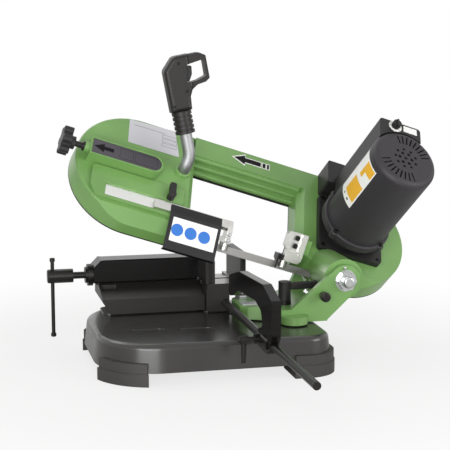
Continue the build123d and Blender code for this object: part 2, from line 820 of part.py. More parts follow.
with BuildPart() as lock_pin:
    with BuildSketch(Plane.XZ.offset(-(front_plate_y + hinge_plate_thick - 1))):
        with Locations((pin_x, pin_z)):
            Circle(pin_radius)
    extrude(amount=hinge_plate_thick + 12)
    with BuildSketch(Plane.XZ.offset(-(front_plate_y - 11))):
        with Locations((pin_x, pin_z)):
            Circle(pin_head)
    extrude(amount=12)
    fillet(lock_pin.faces().sort_by(Axis.Y)[0].edges(), 3)
save("lock_pin", lock_pin, BLACK)

# ================================================================== bow casting
# Spaces for the wheels, drawn first and then cut from the casting.
space_radius = housing_radius - cast_wall
skin_w = cast_front - cast_wall
hung = (Align.CENTER, Align.MAX)

with BuildPart() as idler_space:
    with BuildSketch(cast_plane(cast_rear - 1)):
        with BuildLine():
            Polyline(
                (left_round_x, axle_v + space_radius),
                (housing_right - cast_wall, axle_v + space_radius),
                (housing_right - cast_wall, axle_v - space_radius),
                (left_round_x, axle_v - space_radius),
            )
            CenterArc((left_round_x, axle_v), space_radius, 90, 180)
        make_face()
    extrude(amount=skin_w - cast_rear + 1)
    with BuildSketch(front_plane(lower_flat_y + cast_wall - 0.4)):
        with Locations((left_round_x, band_z + flat_rise + 10)):
            Rectangle(2 * housing_radius + 80, 2 * housing_radius, align=hung)
    extrude(amount=90, mode=Mode.SUBTRACT)
    with BuildSketch(cast_plane(skin_w - 8)):
        with Locations((housing_right, axle_v)):
            Rectangle(2 * cast_wall + 14, 2 * housing_radius)
    extrude(amount=10, mode=Mode.SUBTRACT)

with BuildPart() as drive_space:
    with BuildSketch(cast_plane(cast_rear - 1)):
        with Locations((right_round_x, axle_v)):
            Circle(space_radius)
        with BuildLine():
            Polyline(
                (limb_left + cast_wall, limb_low + limb_floor),
                (limb_left + cast_wall, axle_v + space_radius),
                (beam_right - cast_wall, axle_v + space_radius),
                (right_round_x, axle_v),
                (right_round_x, limb_low + limb_floor),
                close=True,
            )
        make_face()
        with Locations((limb_left + 2.4 - housing_radius, axle_v)):
            Rectangle(2 * housing_radius, 3 * housing_radius, mode=Mode.SUBTRACT)
    extrude(amount=skin_w - cast_rear + 1)
    with BuildSketch(front_plane(lower_flat_y + cast_wall)):
        with Locations((right_round_x, band_z + flat_rise + 10)):
            Rectangle(2 * housing_radius + 80, 2 * housing_radius, align=hung)
    extrude(amount=90, mode=Mode.SUBTRACT)
    # The corner beside the limb is cut back on a slant.
    with BuildSketch(cast_plane(skin_w - 12)):
        with Locations((limb_left, axle_v)):
            Rectangle(2 * cast_wall + 24, 2 * housing_radius)
    extrude(amount=20, mode=Mode.SUBTRACT)

# Front boss of the hinge: a barrel that ends in front of the wheel.
with BuildPart() as hinge_boss:
    with BuildSketch(front_plane(front_plate_y + hinge_plate_thick + 0.5)):
        with Locations((hinge_x, hinge_z)):
            Circle(boss_radius)
    extrude(amount=-120)
    with BuildSketch(cast_plane(band_w + wheel_width / 2 + 5)):
        with Locations((hinge_x, axle_v)):
            Rectangle(200, 400)
    extrude(amount=-140, mode=Mode.SUBTRACT)

# Rear lug of the hinge: a barrel under the cover, carried by a web from the lower rim.
lug_top_w = cast_rear - cover_thick - 1.2
with BuildPart() as hinge_lug:
    with BuildSketch(side_plane(hinge_x - barrel_radius)):
        with BuildLine():
            Polyline(
                (44, 86),
                (34, 94),
                (46, 108),
                (60, 122),
                (barrel_rear, 150),
                (barrel_rear, hinge_z - barrel_radius + 2),
                close=True,
            )
        make_face()
    extrude(amount=2 * barrel_radius)
    with BuildSketch(front_plane(74)):
        with Locations((hinge_x, hinge_z)):
            Circle(barrel_radius)
    extrude(amount=-(barrel_rear - 74))
    # Kept clear of the cover and of the wheel.
    with BuildSketch(cast_plane(lug_top_w)):
        with Locations((hinge_x, axle_v - housing_radius + 8 + 200)):
            Rectangle(200, 400)
    extrude(amount=140, mode=Mode.SUBTRACT)

bow_along = section_plane(0).z_dir
bow_front = cast_plane(0).z_dir


def along_axis(direction):
    """Axis for sorting faces and edges of the bow."""
    return Axis((0, 0, 0), direction)


with BuildPart() as bow_casting:
    # Left wheel housing.
    with BuildSketch(cast_plane(cast_rear)):
        with BuildLine():
            Polyline(
                (left_round_x, beam_top),
                (housing_right, beam_top),
                (housing_right, axle_v - housing_radius + 8),
                (housing_right - 8, axle_v - housing_radius),
                (left_round_x, axle_v - housing_radius),
            )
            CenterArc((left_round_x, axle_v), housing_radius, 90, 180)
        make_face()
    extrude(amount=cast_front - cast_rear)
    front_rim = bow_casting.faces().sort_by(along_axis(bow_front))[-1].edges()
    chamfer(front_rim.sort_by(along_axis(bow_along))[-1], 8)
    front_rim = bow_casting.faces().sort_by(along_axis(bow_front))[-1].edges()
    fillet(front_rim.sort_by(along_axis(bow_along))[0], 4)
    with BuildSketch(front_plane(lower_flat_y)):
        with Locations((left_round_x, band_z + flat_rise)):
            Rectangle(2 * housing_radius + 60, housing_radius, align=hung)
    extrude(amount=60, mode=Mode.SUBTRACT)
    # Right limb and right wheel housing.
    with BuildSketch(cast_plane(cast_rear)):
        with BuildLine():
            Polyline(
                (limb_left, limb_low),
                (limb_left, beam_top),
                (beam_right, beam_top),
                (right_round_x, axle_v),
                (right_round_x, limb_low),
                close=True,
            )
        make_face()
        with Locations((right_round_x, axle_v)):
            Circle(housing_radius)
        with Locations((limb_left - housing_radius, axle_v)):
            Rectangle(2 * housing_radius, 3 * housing_radius, mode=Mode.SUBTRACT)
    extrude(amount=cast_front - cast_rear)
    # Slant of the limb's inner corner, below the beam.
    with BuildSketch(slope_plane(beam_low)):
        with BuildLine():
            Polyline(
                (limb_left, cast_front - limb_slant),
                (limb_left, cast_front),
                (limb_left + limb_slant, cast_front),
                close=True,
            )
        make_face()
    extrude(amount=beam_low - limb_low, mode=Mode.SUBTRACT)
    # Flat in front of the lower rim, as on the left housing.
    with BuildSketch(front_plane(lower_flat_y)):
        with Locations((right_round_x + 60, band_z + flat_rise)):
            Rectangle(2 * housing_radius - 40, housing_radius, align=hung)
    extrude(amount=60, mode=Mode.SUBTRACT)
    # Channel beam with three lengthwise rolls on its underside.
    with BuildSketch(section_plane(housing_right - cast_wall)):
        with BuildLine():
            Polyline(
                (beam_top, cast_rear),
                (beam_top, cast_front),
                (beam_low, cast_front),
                (beam_low - 11, cast_rear),
                close=True,
            )
        make_face()
        for share in (0.16, 0.5, 0.84):
            with Locations((beam_low - 11 * share, cast_front - (cast_front - cast_rear) * share)):
                Circle(rib_radius)
    extrude(amount=limb_left - housing_right + 2 * cast_wall)
    add(hinge_boss.part)
    # Raised band round the guideway.
    with BuildSketch(cast_plane(cast_front - 1)) as band_outline:
        with BuildLine():
            Polyline(
                (way_band_left, way_band_low + 22),
                (way_band_left + 12, way_band_low),
                (way_band_right, way_band_low),
                (way_band_right, axle_v - pad_half - 2),
                (way_band_left, axle_v - pad_half - 2),
                close=True,
            )
        make_face()
        fillet(band_outline.vertices().sort_by(Axis.X)[:3], 8)
    extrude(amount=way_band_rise + 1)
    # Tension pad with the boss of its screw.
    with BuildSketch(cast_plane(cast_front - 1)):
        with Locations(((pad_left + pad_right - pad_half) / 2, axle_v)):
            Rectangle(pad_right - pad_half - pad_left, 2 * pad_half)
        with Locations((pad_right - pad_half, axle_v)):
            Circle(pad_half)
    extrude(amount=pad_top_w - cast_front + 1)
    with BuildSketch(section_plane(pad_left)):
        with Locations((axle_v, tension_w)):
            Circle(tension_radius + 4)
    extrude(amount=-8)
    # Spaces inside.
    add(idler_space.part, mode=Mode.SUBTRACT)
    add(drive_space.part, mode=Mode.SUBTRACT)
    with BuildSketch(section_plane(housing_right - 3 * cast_wall)):
        with BuildLine():
            Polyline(
                (beam_top - cast_wall, cast_rear - 1),
                (beam_top - cast_wall, skin_w),
                (beam_low + cast_wall, skin_w),
                (beam_low - 11 + cast_wall, cast_rear - 1),
                close=True,
            )
        make_face()
    extrude(amount=limb_left - housing_right + 5 * cast_wall, mode=Mode.SUBTRACT)
    # Room of the idler carriage in the pad and the slot of its axle.
    with BuildSketch(cast_plane(cast_front)):
        with Locations(((pad_left + pad_right) / 2 - 1, axle_v)):
            Rectangle(pad_right - pad_left - 22, 2 * pad_half - 6.6)
    extrude(amount=pad_top_w - pad_roof - cast_front, mode=Mode.SUBTRACT)
    with BuildSketch(cast_plane(skin_w - 1)):
        with Locations((idler_x + tension_travel / 2, axle_v)):
            Rectangle(2 * 8 + tension_travel + 2, 18)
    extrude(amount=cast_wall + 2, mode=Mode.SUBTRACT)
    with BuildSketch(section_plane(pad_left - 9)):
        with Locations((axle_v, tension_w)):
            Circle(tension_radius + run_fit)
    extrude(amount=26, mode=Mode.SUBTRACT)
    # Shallow seat of the arrow plate inside the pad's rim.
    with BuildSketch(cast_plane(pad_top_w)):
        with Locations(((pad_left + pad_right - pad_half) / 2 + 1.5, axle_v)):
            Rectangle(pad_right - pad_half - pad_left - 3, 2 * pad_half - 6)
        with Locations((pad_right - pad_half, axle_v)):
            Circle(pad_half - 3)
    extrude(amount=-1, mode=Mode.SUBTRACT)
    # Guideway, open towards the blade.
    with BuildSketch(cast_plane(way_floor)):
        with Locations(((way_left + way_band_right) / 2, (way_low + way_high) / 2)):
            Rectangle(way_band_right - way_left, way_high - way_low)
    extrude(amount=12, mode=Mode.SUBTRACT)
    # Slots where the saw band leaves the left housing and enters the right one.
    with BuildSketch(cast_plane(band_w - 8.5)):
        with Locations((limb_left + slot_length, band_v)):
            Rectangle(slot_length, slot_height)
        with Locations((housing_right, band_v)):
            Rectangle(4 * cast_wall, slot_height)
    extrude(amount=17, mode=Mode.SUBTRACT)
    # Rear lug of the hinge.
    add(hinge_lug.part)
    # Bores of the hinge.
    with BuildSketch(front_plane(front_plate_y + hinge_plate_thick)):
        with Locations((hinge_x, hinge_z)):
            Circle(hinge_radius + run_fit)
    extrude(amount=-(bore_end + 0.5 - front_plate_y - hinge_plate_thick), mode=Mode.SUBTRACT)
    with BuildSketch(front_plane(barrel_rear)):
        with Locations((hinge_x, hinge_z)):
            Circle(hinge_radius + run_fit)
    extrude(amount=barrel_rear - rear_plate_y + rear_bolt_reach + 0.5, mode=Mode.SUBTRACT)
    # Seat of the gearbox plate and the passage of its shaft.
    with BuildSketch(cast_plane(cast_front)):
        with Locations((motor_x, axle_v)):
            Rectangle(gear_plate + 1, gear_plate + 1)
    extrude(amount=30, mode=Mode.SUBTRACT)
    with BuildSketch(cast_plane(skin_w - 1)):
        with Locations((drive_x, axle_v)):
            Circle(hinge_radius + 4)
    extrude(amount=cast_wall + 2, mode=Mode.SUBTRACT)
    # Pad that carries the right guide block.
    with BuildSketch(side_plane(limb_left + 2)):
        with BuildLine():
            guide_rear = block_front + block_thick
            Polyline(
                (guide_rear, 145),
                (guide_rear, 170),
                (guide_rear + 28, 174),
                (guide_rear + 16, 154),
                close=True,
            )
        make_face()
    extrude(amount=18)
    # Socket of the handle tube.
    with BuildSketch(cast_plane(cast_front - 1)):
        with Locations((tube_foot_x, tube_foot_v)):
            Circle(tube_radius + 3.5)
            Circle(tube_radius, mode=Mode.SUBTRACT)
    extrude(amount=6)
save("bow_casting", bow_casting, GREEN)

# ================================================================== bow covers and plates
with BuildPart() as rear_cover:
    with BuildSketch(cast_plane(cast_rear - seat_gap)):
        with BuildLine():
            Polyline(
                (left_round_x, beam_top),
                (beam_right, beam_top),
                (right_round_x, axle_v),
                (right_round_x, limb_low),
                (limb_left, limb_low),
                (limb_left, beam_low - 14),
                (housing_right, beam_low - 14),
                (housing_right, axle_v - housing_radius),
                (left_round_x, axle_v - housing_radius),
            )
            CenterArc((left_round_x, axle_v), housing_radius, 90, 180)
        make_face()
        with BuildSketch(mode=Mode.PRIVATE) as cover_round:
            with Locations((right_round_x, axle_v)):
                Circle(housing_radius)
            with Locations((limb_left - housing_radius, axle_v)):
                Rectangle(2 * housing_radius, 3 * housing_radius, mode=Mode.SUBTRACT)
        add(cover_round.sketch)
        with Locations((hinge_x, axle_v - housing_radius)):
            Rectangle(2 * barrel_radius + 4, 36, mode=Mode.SUBTRACT)
    extrude(amount=-cover_thick)
save("rear_cover", rear_cover, BLACK)

with BuildPart() as rating_plate:
    with BuildSketch(cast_plane(cast_front)) as plate_outline:
        with BuildLine():
            Polyline(
                (left_round_x - 26, beam_top - 6),
                (left_round_x + 58, beam_top - 2),
                (left_round_x + 70, beam_low - 18),
                (left_round_x - 24, beam_low - 18),
                close=True,
            )
        make_face()
        fillet(plate_outline.vertices(), 3)
    extrude(amount=0.6)
save("rating_plate", rating_plate, STEEL)

with BuildPart() as arrow_plate:
    with BuildSketch(cast_plane(pad_top_w - 1)):
        with Locations(((pad_left + pad_right - pad_half) / 2 + 2, axle_v)):
            Rectangle(pad_right - pad_half - pad_left - 4.4, 2 * pad_half - 6.8)
        with Locations((pad_right - pad_half, axle_v)):
            Circle(pad_half - 3.4)
    extrude(amount=0.8)
save("arrow_plate", arrow_plate, STEEL)

with BuildPart() as guideway:
    with BuildSketch(cast_plane(way_floor)):
        with Locations(((way_left + way_band_right) / 2, (way_low + way_high) / 2)):
            Rectangle(way_band_right - way_left - 0.4, way_high - way_low - 0.4)
    extrude(amount=way_strip)
save("guideway", guideway, STEEL)

# ================================================================== tension gear
with BuildPart() as tension_screw:
    with BuildSketch(section_plane(knob_x + 4)):
        with Locations((axle_v, tension_w)):
            Circle(tension_radius)
    extrude(amount=idler_x - knob_x)
    with BuildSketch(section_plane(pad_left - 8 - 4.3)):
        with Locations((axle_v, tension_w)):
            Circle(tension_radius + 3)
    extrude(amount=4)
save("tension_screw", tension_screw, STEEL)

with BuildPart() as tension_knob:
    with BuildSketch(section_plane(knob_x)):
        with Locations((axle_v, tension_w)):
            Circle(18)
            with PolarLocations(18.5, 6):
                Circle(6.8)
    extrude(amount=knob_thick - 4)
    fillet(tension_knob.faces().sort_by(along_axis(bow_along))[0].edges(), 2.5)
    with BuildSketch(section_plane(knob_x + knob_thick - 4)):
        with Locations((axle_v, tension_w)):
            Circle(11)
    extrude(amount=8)
    with BuildSketch(section_plane(knob_x + 4)):
        with Locations((axle_v, tension_w)):
            Circle(tension_radius)
    extrude(amount=knob_thick + 4, mode=Mode.SUBTRACT)
save("tension_knob", tension_knob, BLACK)

with BuildPart() as idler_carriage:
    with BuildSketch(cast_plane(cast_front + slide_gap)):
        with Locations((idler_x, axle_v)):
            Rectangle(36, 2 * pad_half - 6.6 - 2 * slide_gap)
    extrude(amount=pad_top_w - pad_roof - cast_front - 2 * slide_gap)
    with BuildSketch(section_plane(idler_x - 19)):
        with Locations((axle_v, tension_w)):
            Circle(tension_radius + run_fit)
    extrude(amount=40, mode=Mode.SUBTRACT)
save("idler_carriage", idler_carriage, STEEL)

axle_radius = 7.0
with BuildPart() as idler_axle:
    with BuildSketch(cast_plane(cast_front + slide_gap)):
        with Locations((idler_x, axle_v)):
            Circle(axle_radius)
    extrude(amount=-(cast_front + slide_gap - band_w + 13))
    with BuildSketch(cast_plane(band_w - 13)):
        with Locations((idler_x, axle_v)):
            Circle(axle_radius + 5)
    extrude(amount=2.5)
save("idler_axle", idler_axle, STEEL)

tyre_thick = 2.4
wheel_bores = (("idler", idler_x, axle_radius + run_fit), ("drive", drive_x, hinge_radius))
for wheel_name, wheel_x, bore in wheel_bores:
    with BuildPart() as wheel:
        with BuildSketch(cast_plane(band_w - wheel_width / 2)):
            with Locations((wheel_x, axle_v)):
                Circle(wheel_radius - tyre_thick)
                Circle(wheel_radius - tyre_thick - 7, mode=Mode.SUBTRACT)
        extrude(amount=wheel_width)
        with BuildSketch(cast_plane(band_w - 2.5)):
            with Locations((wheel_x, axle_v)):
                Circle(wheel_radius - tyre_thick - 6)
                with PolarLocations(56, 5):
                    Circle(15, mode=Mode.SUBTRACT)
        extrude(amount=5)
        with BuildSketch(cast_plane(band_w - 10)):
            with Locations((wheel_x, axle_v)):
                Circle(17)
        extrude(amount=19)
        # Flange behind the band.
        with BuildSketch(cast_plane(band_w - wheel_width / 2 - 1.8)):
            with Locations((wheel_x, axle_v)):
                Circle(wheel_radius + 1.2)
                Circle(wheel_radius - tyre_thick - 7, mode=Mode.SUBTRACT)
        extrude(amount=1.8)
        with BuildSketch(cast_plane(band_w - 11)):
            with Locations((wheel_x, axle_v)):
                Circle(bore)
        extrude(amount=22, mode=Mode.SUBTRACT)
    save(f"{wheel_name}_wheel", wheel, STEEL)
    with BuildPart() as tyre:
        with BuildSketch(cast_plane(band_w - wheel_width / 2)):
            with Locations((wheel_x, axle_v)):
                Circle(wheel_radius)
                Circle(wheel_radius - tyre_thick, mode=Mode.SUBTRACT)
        extrude(amount=wheel_width)
    save(f"{wheel_name}_tyre", tyre, BLACK)

plate_top_w = cast_front + gear_plate_thick
with BuildPart() as drive_shaft:
    with BuildSketch(cast_plane(band_w - 12)):
        with Locations((drive_x, axle_v)):
            Circle(hinge_radius)
    extrude(amount=plate_top_w + collar_length - 3 - band_w + 12)
    with BuildSketch(cast_plane(band_w - 13)):
        with Locations((drive_x, axle_v)):
            Circle(hinge_radius + 4)
    extrude(amount=3)
save("drive_shaft", drive_shaft, STEEL)

# ================================================================== saw band
twist_left = (idler_x + 8, housing_right - 9)
twist_right = (178.0, 236.0)
with BuildPart() as saw_band:
    inner = wheel_radius + skin_gap
    # The runs that lie across the slope: round the wheels and along the beam.
    with BuildSketch(cast_plane(band_w - band_width / 2)):
        with BuildLine():
            Polyline(
                (twist_left[0], band_v + band_thick / 2),
                (twist_left[0], band_v - band_thick / 2),
                (idler_x, band_v - band_thick / 2),
            )
            CenterArc((idler_x, axle_v), inner + band_thick, -90, -180)
            Line((idler_x, return_v + band_thick / 2), (drive_x, return_v + band_thick / 2))
            CenterArc((drive_x, axle_v), inner + band_thick, 90, -180)
            Polyline(
                (drive_x, band_v - band_thick / 2),
                (twist_right[1], band_v - band_thick / 2),
                (twist_right[1], band_v + band_thick / 2),
                (drive_x, band_v + band_thick / 2),
            )
            CenterArc((drive_x, axle_v), inner, -90, 180)
            Line((drive_x, return_v - band_thick / 2), (idler_x, return_v - band_thick / 2))
            CenterArc((idler_x, axle_v), inner, 90, 180)
            Line((idler_x, band_v + band_thick / 2), (twist_left[0], band_v + band_thick / 2))
        make_face()
    extrude(amount=band_width)
    # The cutting run stands upright between the guides, with its teeth down.
    with BuildSketch(front_plane(band_y - band_thick / 2)):
        with Locations(((twist_left[1] + twist_right[0]) / 2, band_z)):
            Rectangle(twist_right[0] - twist_left[1], band_width)
        tooth_count = int((twist_right[0] - twist_left[1]) / tooth_pitch) - 1
        for tooth in range(tooth_count):
            tooth_x = twist_left[1] + tooth_pitch * (tooth + 1)
            tooth_z = band_z - band_width / 2
            with BuildLine():
                Polyline(
                    (tooth_x - tooth_pitch * 0.42, tooth_z),
                    (tooth_x + tooth_pitch * 0.42, tooth_z),
                    (tooth_x + tooth_pitch * 0.3, tooth_z + tooth_depth),
                    close=True,
                )
            make_face(mode=Mode.SUBTRACT)
    extrude(amount=-band_thick)
    # Twisted lengths on both sides.
    for start_x, end_x, start_turn, end_turn in (
        (twist_left[0], twist_left[1], 45, 0),
        (twist_right[0], twist_right[1], 0, 45),
    ):
        for step in range(5):
            share = step / 4
            with BuildSketch(side_plane(start_x + (end_x - start_x) * share)):
                with Locations((band_y, band_z)):
                    Rectangle(band_thick, band_width, rotation=start_turn + (end_turn - start_turn) * share)
        loft()
save("saw_band", saw_band, STEEL)

# ================================================================== left guide
guide_low = way_low + 0.3
guide_w = way_floor + way_strip + seat_gap
with BuildPart() as guide_bar:
    with BuildSketch(cast_plane(guide_w)):
        with Locations(((guide_left + guide_right) / 2, guide_low + guide_height / 2)):
            Rectangle(guide_right - guide_left, guide_height)
    extrude(amount=guide_thick)
    chamfer(guide_bar.faces().sort_by(along_axis(bow_along))[0].edges(), 1.0)
save("guide_bar", guide_bar, STEEL)

# The guide heads hold a roller on each face of the band.
holder_top = block_low
roller_low = table_top + roller_lift
for side, roller_x in (("left", guide_right + guide_head), ("right", 150.0)):
    with BuildPart() as rollers:
        for sign in (-1, 1):
            roller_y = band_y + sign * (band_thick / 2 + skin_gap + roller_radius)
            with BuildSketch(floor_plane(roller_low)):
                with Locations((roller_x, roller_y)):
                    Circle(roller_radius)
            extrude(amount=roller_height)
            with BuildSketch(floor_plane(roller_low)):
                with Locations((roller_x, roller_y)):
                    Circle(2.5)
            extrude(amount=holder_top - roller_low)
    save(f"{side}_guide_rollers", rollers, STEEL)

with BuildPart() as left_guide_block:
    with BuildSketch(floor_plane(holder_top)):
        with Locations((guide_right + guide_head, band_y)):
            Rectangle(14, 24)
    extrude(amount=8)
    with BuildSketch(side_plane(guide_right)):
        with BuildLine():
            Polyline(
                (band_y - 12, holder_top),
                (band_y + 12, holder_top),
                (band_y + 12, holder_top + 26),
                (band_y + 2, holder_top + 38),
                (band_y - 6, holder_top + 30),
                (band_y - 12, holder_top + 20),
                close=True,
            )
        make_face()
    extrude(amount=9)
save("left_guide_block", left_guide_block, STEEL)

with BuildPart() as guide_lock_lever:
    with BuildSketch(cast_plane(cast_front + way_band_rise + seat_gap)):
        with Locations((guide_lever_x, guide_lever_v)):
            Circle(6.5)
    extrude(amount=14)
    with BuildSketch(cast_plane(cast_front + way_band_rise + 7)):
        with Locations((guide_lever_x, guide_lever_v + 11)):
            RectangleRounded(11, 26, 3)
    extrude(amount=7)
save("guide_lock_lever", guide_lock_lever, BLACK)

guide_front_w = guide_w + guide_thick
with BuildPart() as band_guard:
    lean_y = guard_drop * sin(radians(guard_lean))
    lean_z = guard_drop * cos(radians(guard_lean))
    # Flange on the guide bar's face, bent into the leaning panel with a lip below.
    with BuildSketch(side_plane(guard_left)):
        flange_w = guide_front_w + guard_thick / 2
        flange_low = ((guide_low - 2 - flange_w) * half, (guide_low - 2 + flange_w) * half)
        flange_top = ((guide_low + 14 - flange_w) * half, (guide_low + 14 + flange_w) * half)
        with BuildLine():
            Polyline(
                flange_top,
                flange_low,
                (flange_low[0] - lean_y, flange_low[1] - lean_z),
                (flange_low[0] - lean_y + 9, flange_low[1] - lean_z - 4),
            )
        trace(line_width=guard_thick)
    extrude(amount=guard_right - guard_left)
save("band_guard", band_guard, BLACK)

# ================================================================== right guide
with BuildPart() as right_guide_block:
    with BuildSketch(front_plane(block_front)):
        with BuildLine():
            Polyline(
                (block_left + 4, block_high),
                (block_right, block_high),
                (block_right, block_low + 6),
                (block_right - 6, block_low),
                (block_left + 6, block_low),
                (block_left + 6, block_low + 20),
                (block_left, block_low + 26),
                (block_left, block_high - 6),
                close=True,
            )
        make_face()
    extrude(amount=-block_thick)
    # Step cut for the two clamp screws.
    with BuildSketch(front_plane(block_front)):
        with Locations((block_left + block_screw_x, block_high - 16)):
            RectangleRounded(16, 34, 3)
    extrude(amount=-5, mode=Mode.SUBTRACT)
    with BuildSketch(front_plane(block_front)):
        with Locations((block_right - 8, block_low + 16)):
            Circle(2.2)
    extrude(amount=-7, mode=Mode.SUBTRACT)
    add(bow_casting.part, mode=Mode.SUBTRACT)
save("right_guide_block", right_guide_block, STEEL)

with BuildPart() as right_guide_holder:
    with BuildSketch(floor_plane(holder_top)):
        with Locations((156, band_y - 2)):
            Rectangle(30, 26)
    extrude(amount=9)
    with BuildSketch(floor_plane(holder_top)):
        with Locations((158, band_y)):
            Rectangle(20, 14)
    extrude(amount=36)
    add(right_guide_block.part, mode=Mode.SUBTRACT)
    add(bow_casting.part, mode=Mode.SUBTRACT)
save("right_guide_holder", right_guide_holder, BLACK)

with BuildPart() as chip_scraper:
    with BuildSketch(side_plane(136)):
        with BuildLine():
            Polyline(
                (band_y - 12, band_z - 4),
                (band_y - 1.4, band_z - 4),
                (band_y - 1.4, band_z + 8),
                (band_y + 10, band_z + 12),
                (band_y + 10, holder_top + 9),
                (band_y - 12, holder_top + 9),
                close=True,
            )
        make_face()
    extrude(amount=3)
    with BuildSketch(floor_plane(holder_top + 4)):
        with Locations((140, band_y - 2)):
            Rectangle(4, 16)
    extrude(amount=4)
    add(right_guide_holder.part, mode=Mode.SUBTRACT)
save("chip_scraper", chip_scraper, BLACK)

# ================================================================== handle
with BuildPart() as handle_tube:
    foot_y = (tube_foot_v - cast_front) * half
    foot_z = (tube_foot_v + cast_front) * half
    tilt_x = sin(radians(grip_tilt))
    tilt_z = cos(radians(grip_tilt))
    # The handle's axis, seen from the front, below the grip's origin.
    axis_x = grip_x - 23.5 * tilt_z
    axis_z = grip_z - 23.5 * tilt_x
    top_end = (axis_x + 60 * tilt_x, grip_y, axis_z - 60 * tilt_z)
    knee = (axis_x + 136 * tilt_x, grip_y, axis_z - 136 * tilt_z)
    with BuildLine() as tube_route:
        FilletPolyline(
            (tube_foot_x, foot_y, foot_z),
            (tube_foot_x, foot_y - 16 * half, foot_z + 16 * half),
            knee,
            top_end,
            radius=(18, 36),
        )
    tube_path = tube_route.wires()[0].moved(bow_pose)
    with BuildSketch(Plane(origin=tube_path @ 0, z_dir=tube_path % 0)):
        Circle(tube_radius)
    sweep(path=tube_path)
save("handle_tube", handle_tube, STEEL)
print("handle tube", handle_tube.part.volume, pi * tube_radius**2 * tube_path.length)

# The grip in its own plane: body on the left, finger ring on the right.
body_left = -42.0
body_right = -5.0
body_low = -58.0
body_top = 35.0
rib_count = 5
rib_pitch = 8.0
with BuildPart() as grip_blank:
    with BuildSketch(grip_plane(grip_y - grip_thick / 2)) as body_outline:
        with BuildLine():
            Polyline(
                (body_left, body_low),
                (body_left, 14),
                (body_left + 20, body_top),
                (4, body_top),
                (4, -20),
                (body_right + 1, -36),
                (body_right - 1, body_low),
                close=True,
            )
        make_face()
        fillet(body_outline.vertices().sort_by(Axis.Y)[-3:].sort_by(Axis.X)[:2], 12)
    extrude(amount=-grip_thick)
    fillet(grip_blank.faces().sort_by(Axis((0, 0, 0), (0, 1, 0)))[0].edges(), 7)
    fillet(grip_blank.faces().sort_by(Axis((0, 0, 0), (0, 1, 0)))[-1].edges(), 7)
    with BuildSketch(grip_plane(grip_y - ring_thick / 2)) as ring_outline:
        with BuildLine():
            Polyline(
                (-20, body_top - 1),
                (22, body_top - 1),
                (33.5, 27),
                (33.5, -12),
                (26, -17),
                (11, -19),
                (0, -26),
                (body_right - 2, -36),
                (-20, -36),
                close=True,
            )
        make_face()
        fillet(ring_outline.vertices().sort_by(Axis.X)[-4:], 3)
    extrude(amount=-ring_thick)
    with BuildSketch(grip_plane(grip_y - grip_thick)) as opening_outline:
        with BuildLine():
            Polyline((-7, -13), (-3, 17), (29.2, 21), (28.8, -7), (12, -12), close=True)
        make_face()
        fillet(opening_outline.vertices(), 3)
    extrude(amount=-2 * grip_thick, mode=Mode.SUBTRACT)
    # Pocket of the trigger.
    with BuildSketch(grip_plane(grip_y - ring_thick / 2 + 2)):
        with Locations((-9, 2)):
            Rectangle(22, 26)
    extrude(amount=-(ring_thick - 4), mode=Mode.SUBTRACT)
    # Ribbed sleeve round the tube.
    sleeve_x = (body_left + body_right) / 2
    sleeve_mouth = grip_plane(grip_y).location * Location((sleeve_x, body_low, 0))
    sleeve_start = Plane(sleeve_mouth * Rotation(90, 0, 0))
    with BuildSketch(sleeve_start):
        Circle(15)
    extrude(amount=rib_count * rib_pitch - 1)
    for rib in range(rib_count):
        with BuildSketch(sleeve_start.offset(rib * rib_pitch + 1.5)):
            Circle(17)
        extrude(amount=rib_pitch - 3)
    # Socket of the tube and screw holes.
    with BuildSketch(sleeve_start.offset(rib_count * rib_pitch)):
        Circle(tube_radius)
    extrude(amount=-(136 - 60 + 1), mode=Mode.SUBTRACT)
    with BuildSketch(grip_plane(grip_y - grip_thick / 2)):
        with Locations((body_left + 26, 22), (body_right - 5, -26), (body_left + 6, body_low + 10)):
            Circle(2.4)
    extrude(amount=-4, mode=Mode.SUBTRACT)

for half_name, keep in (("front", Keep.TOP), ("rear", Keep.BOTTOM)):
    with BuildPart() as grip_half:
        add(grip_blank.part)
        split(bisect_by=grip_plane(grip_y), keep=keep)
    save(f"grip_{half_name}", grip_half, BLACK)

with BuildPart() as trigger:
    with BuildSketch(grip_plane(grip_y - ring_thick / 2 + 2.4)) as trigger_outline:
        with BuildLine():
            Polyline((-15.6, -10.6), (-15.6, 14.6), (7, 14.6), (5, 0), (-1, -10.6), close=True)
        make_face()
        fillet(trigger_outline.vertices().sort_by(Axis.X)[2:], 2.5)
    extrude(amount=-(ring_thick - 4.8))
save("trigger", trigger, BLACK)

# ================================================================== motor and controls
with BuildPart() as gearbox_plate:
    with BuildSketch(cast_plane(cast_front)):
        with Locations((motor_x, axle_v)):
            RectangleRounded(gear_plate, gear_plate, 8)
    extrude(amount=gear_plate_thick)
    with BuildSketch(cast_plane(plate_top_w)):
        with Locations((motor_x, axle_v)):
            Circle(collar_r)
    extrude(amount=collar_length)
    with BuildSketch(cast_plane(cast_front - 1)):
        with Locations((drive_x, axle_v)):
            Circle(hinge_radius + run_fit)
    extrude(amount=gear_plate_thick + collar_length - 1, mode=Mode.SUBTRACT)
    with BuildSketch(cast_plane(plate_top_w)):
        with Locations((motor_x, axle_v)):
            with GridLocations(gear_plate - 17, gear_plate - 17, 2, 2):
                Circle(4.9)
    extrude(amount=-4.5, mode=Mode.SUBTRACT)
save("gearbox_plate", gearbox_plate, BLACK)

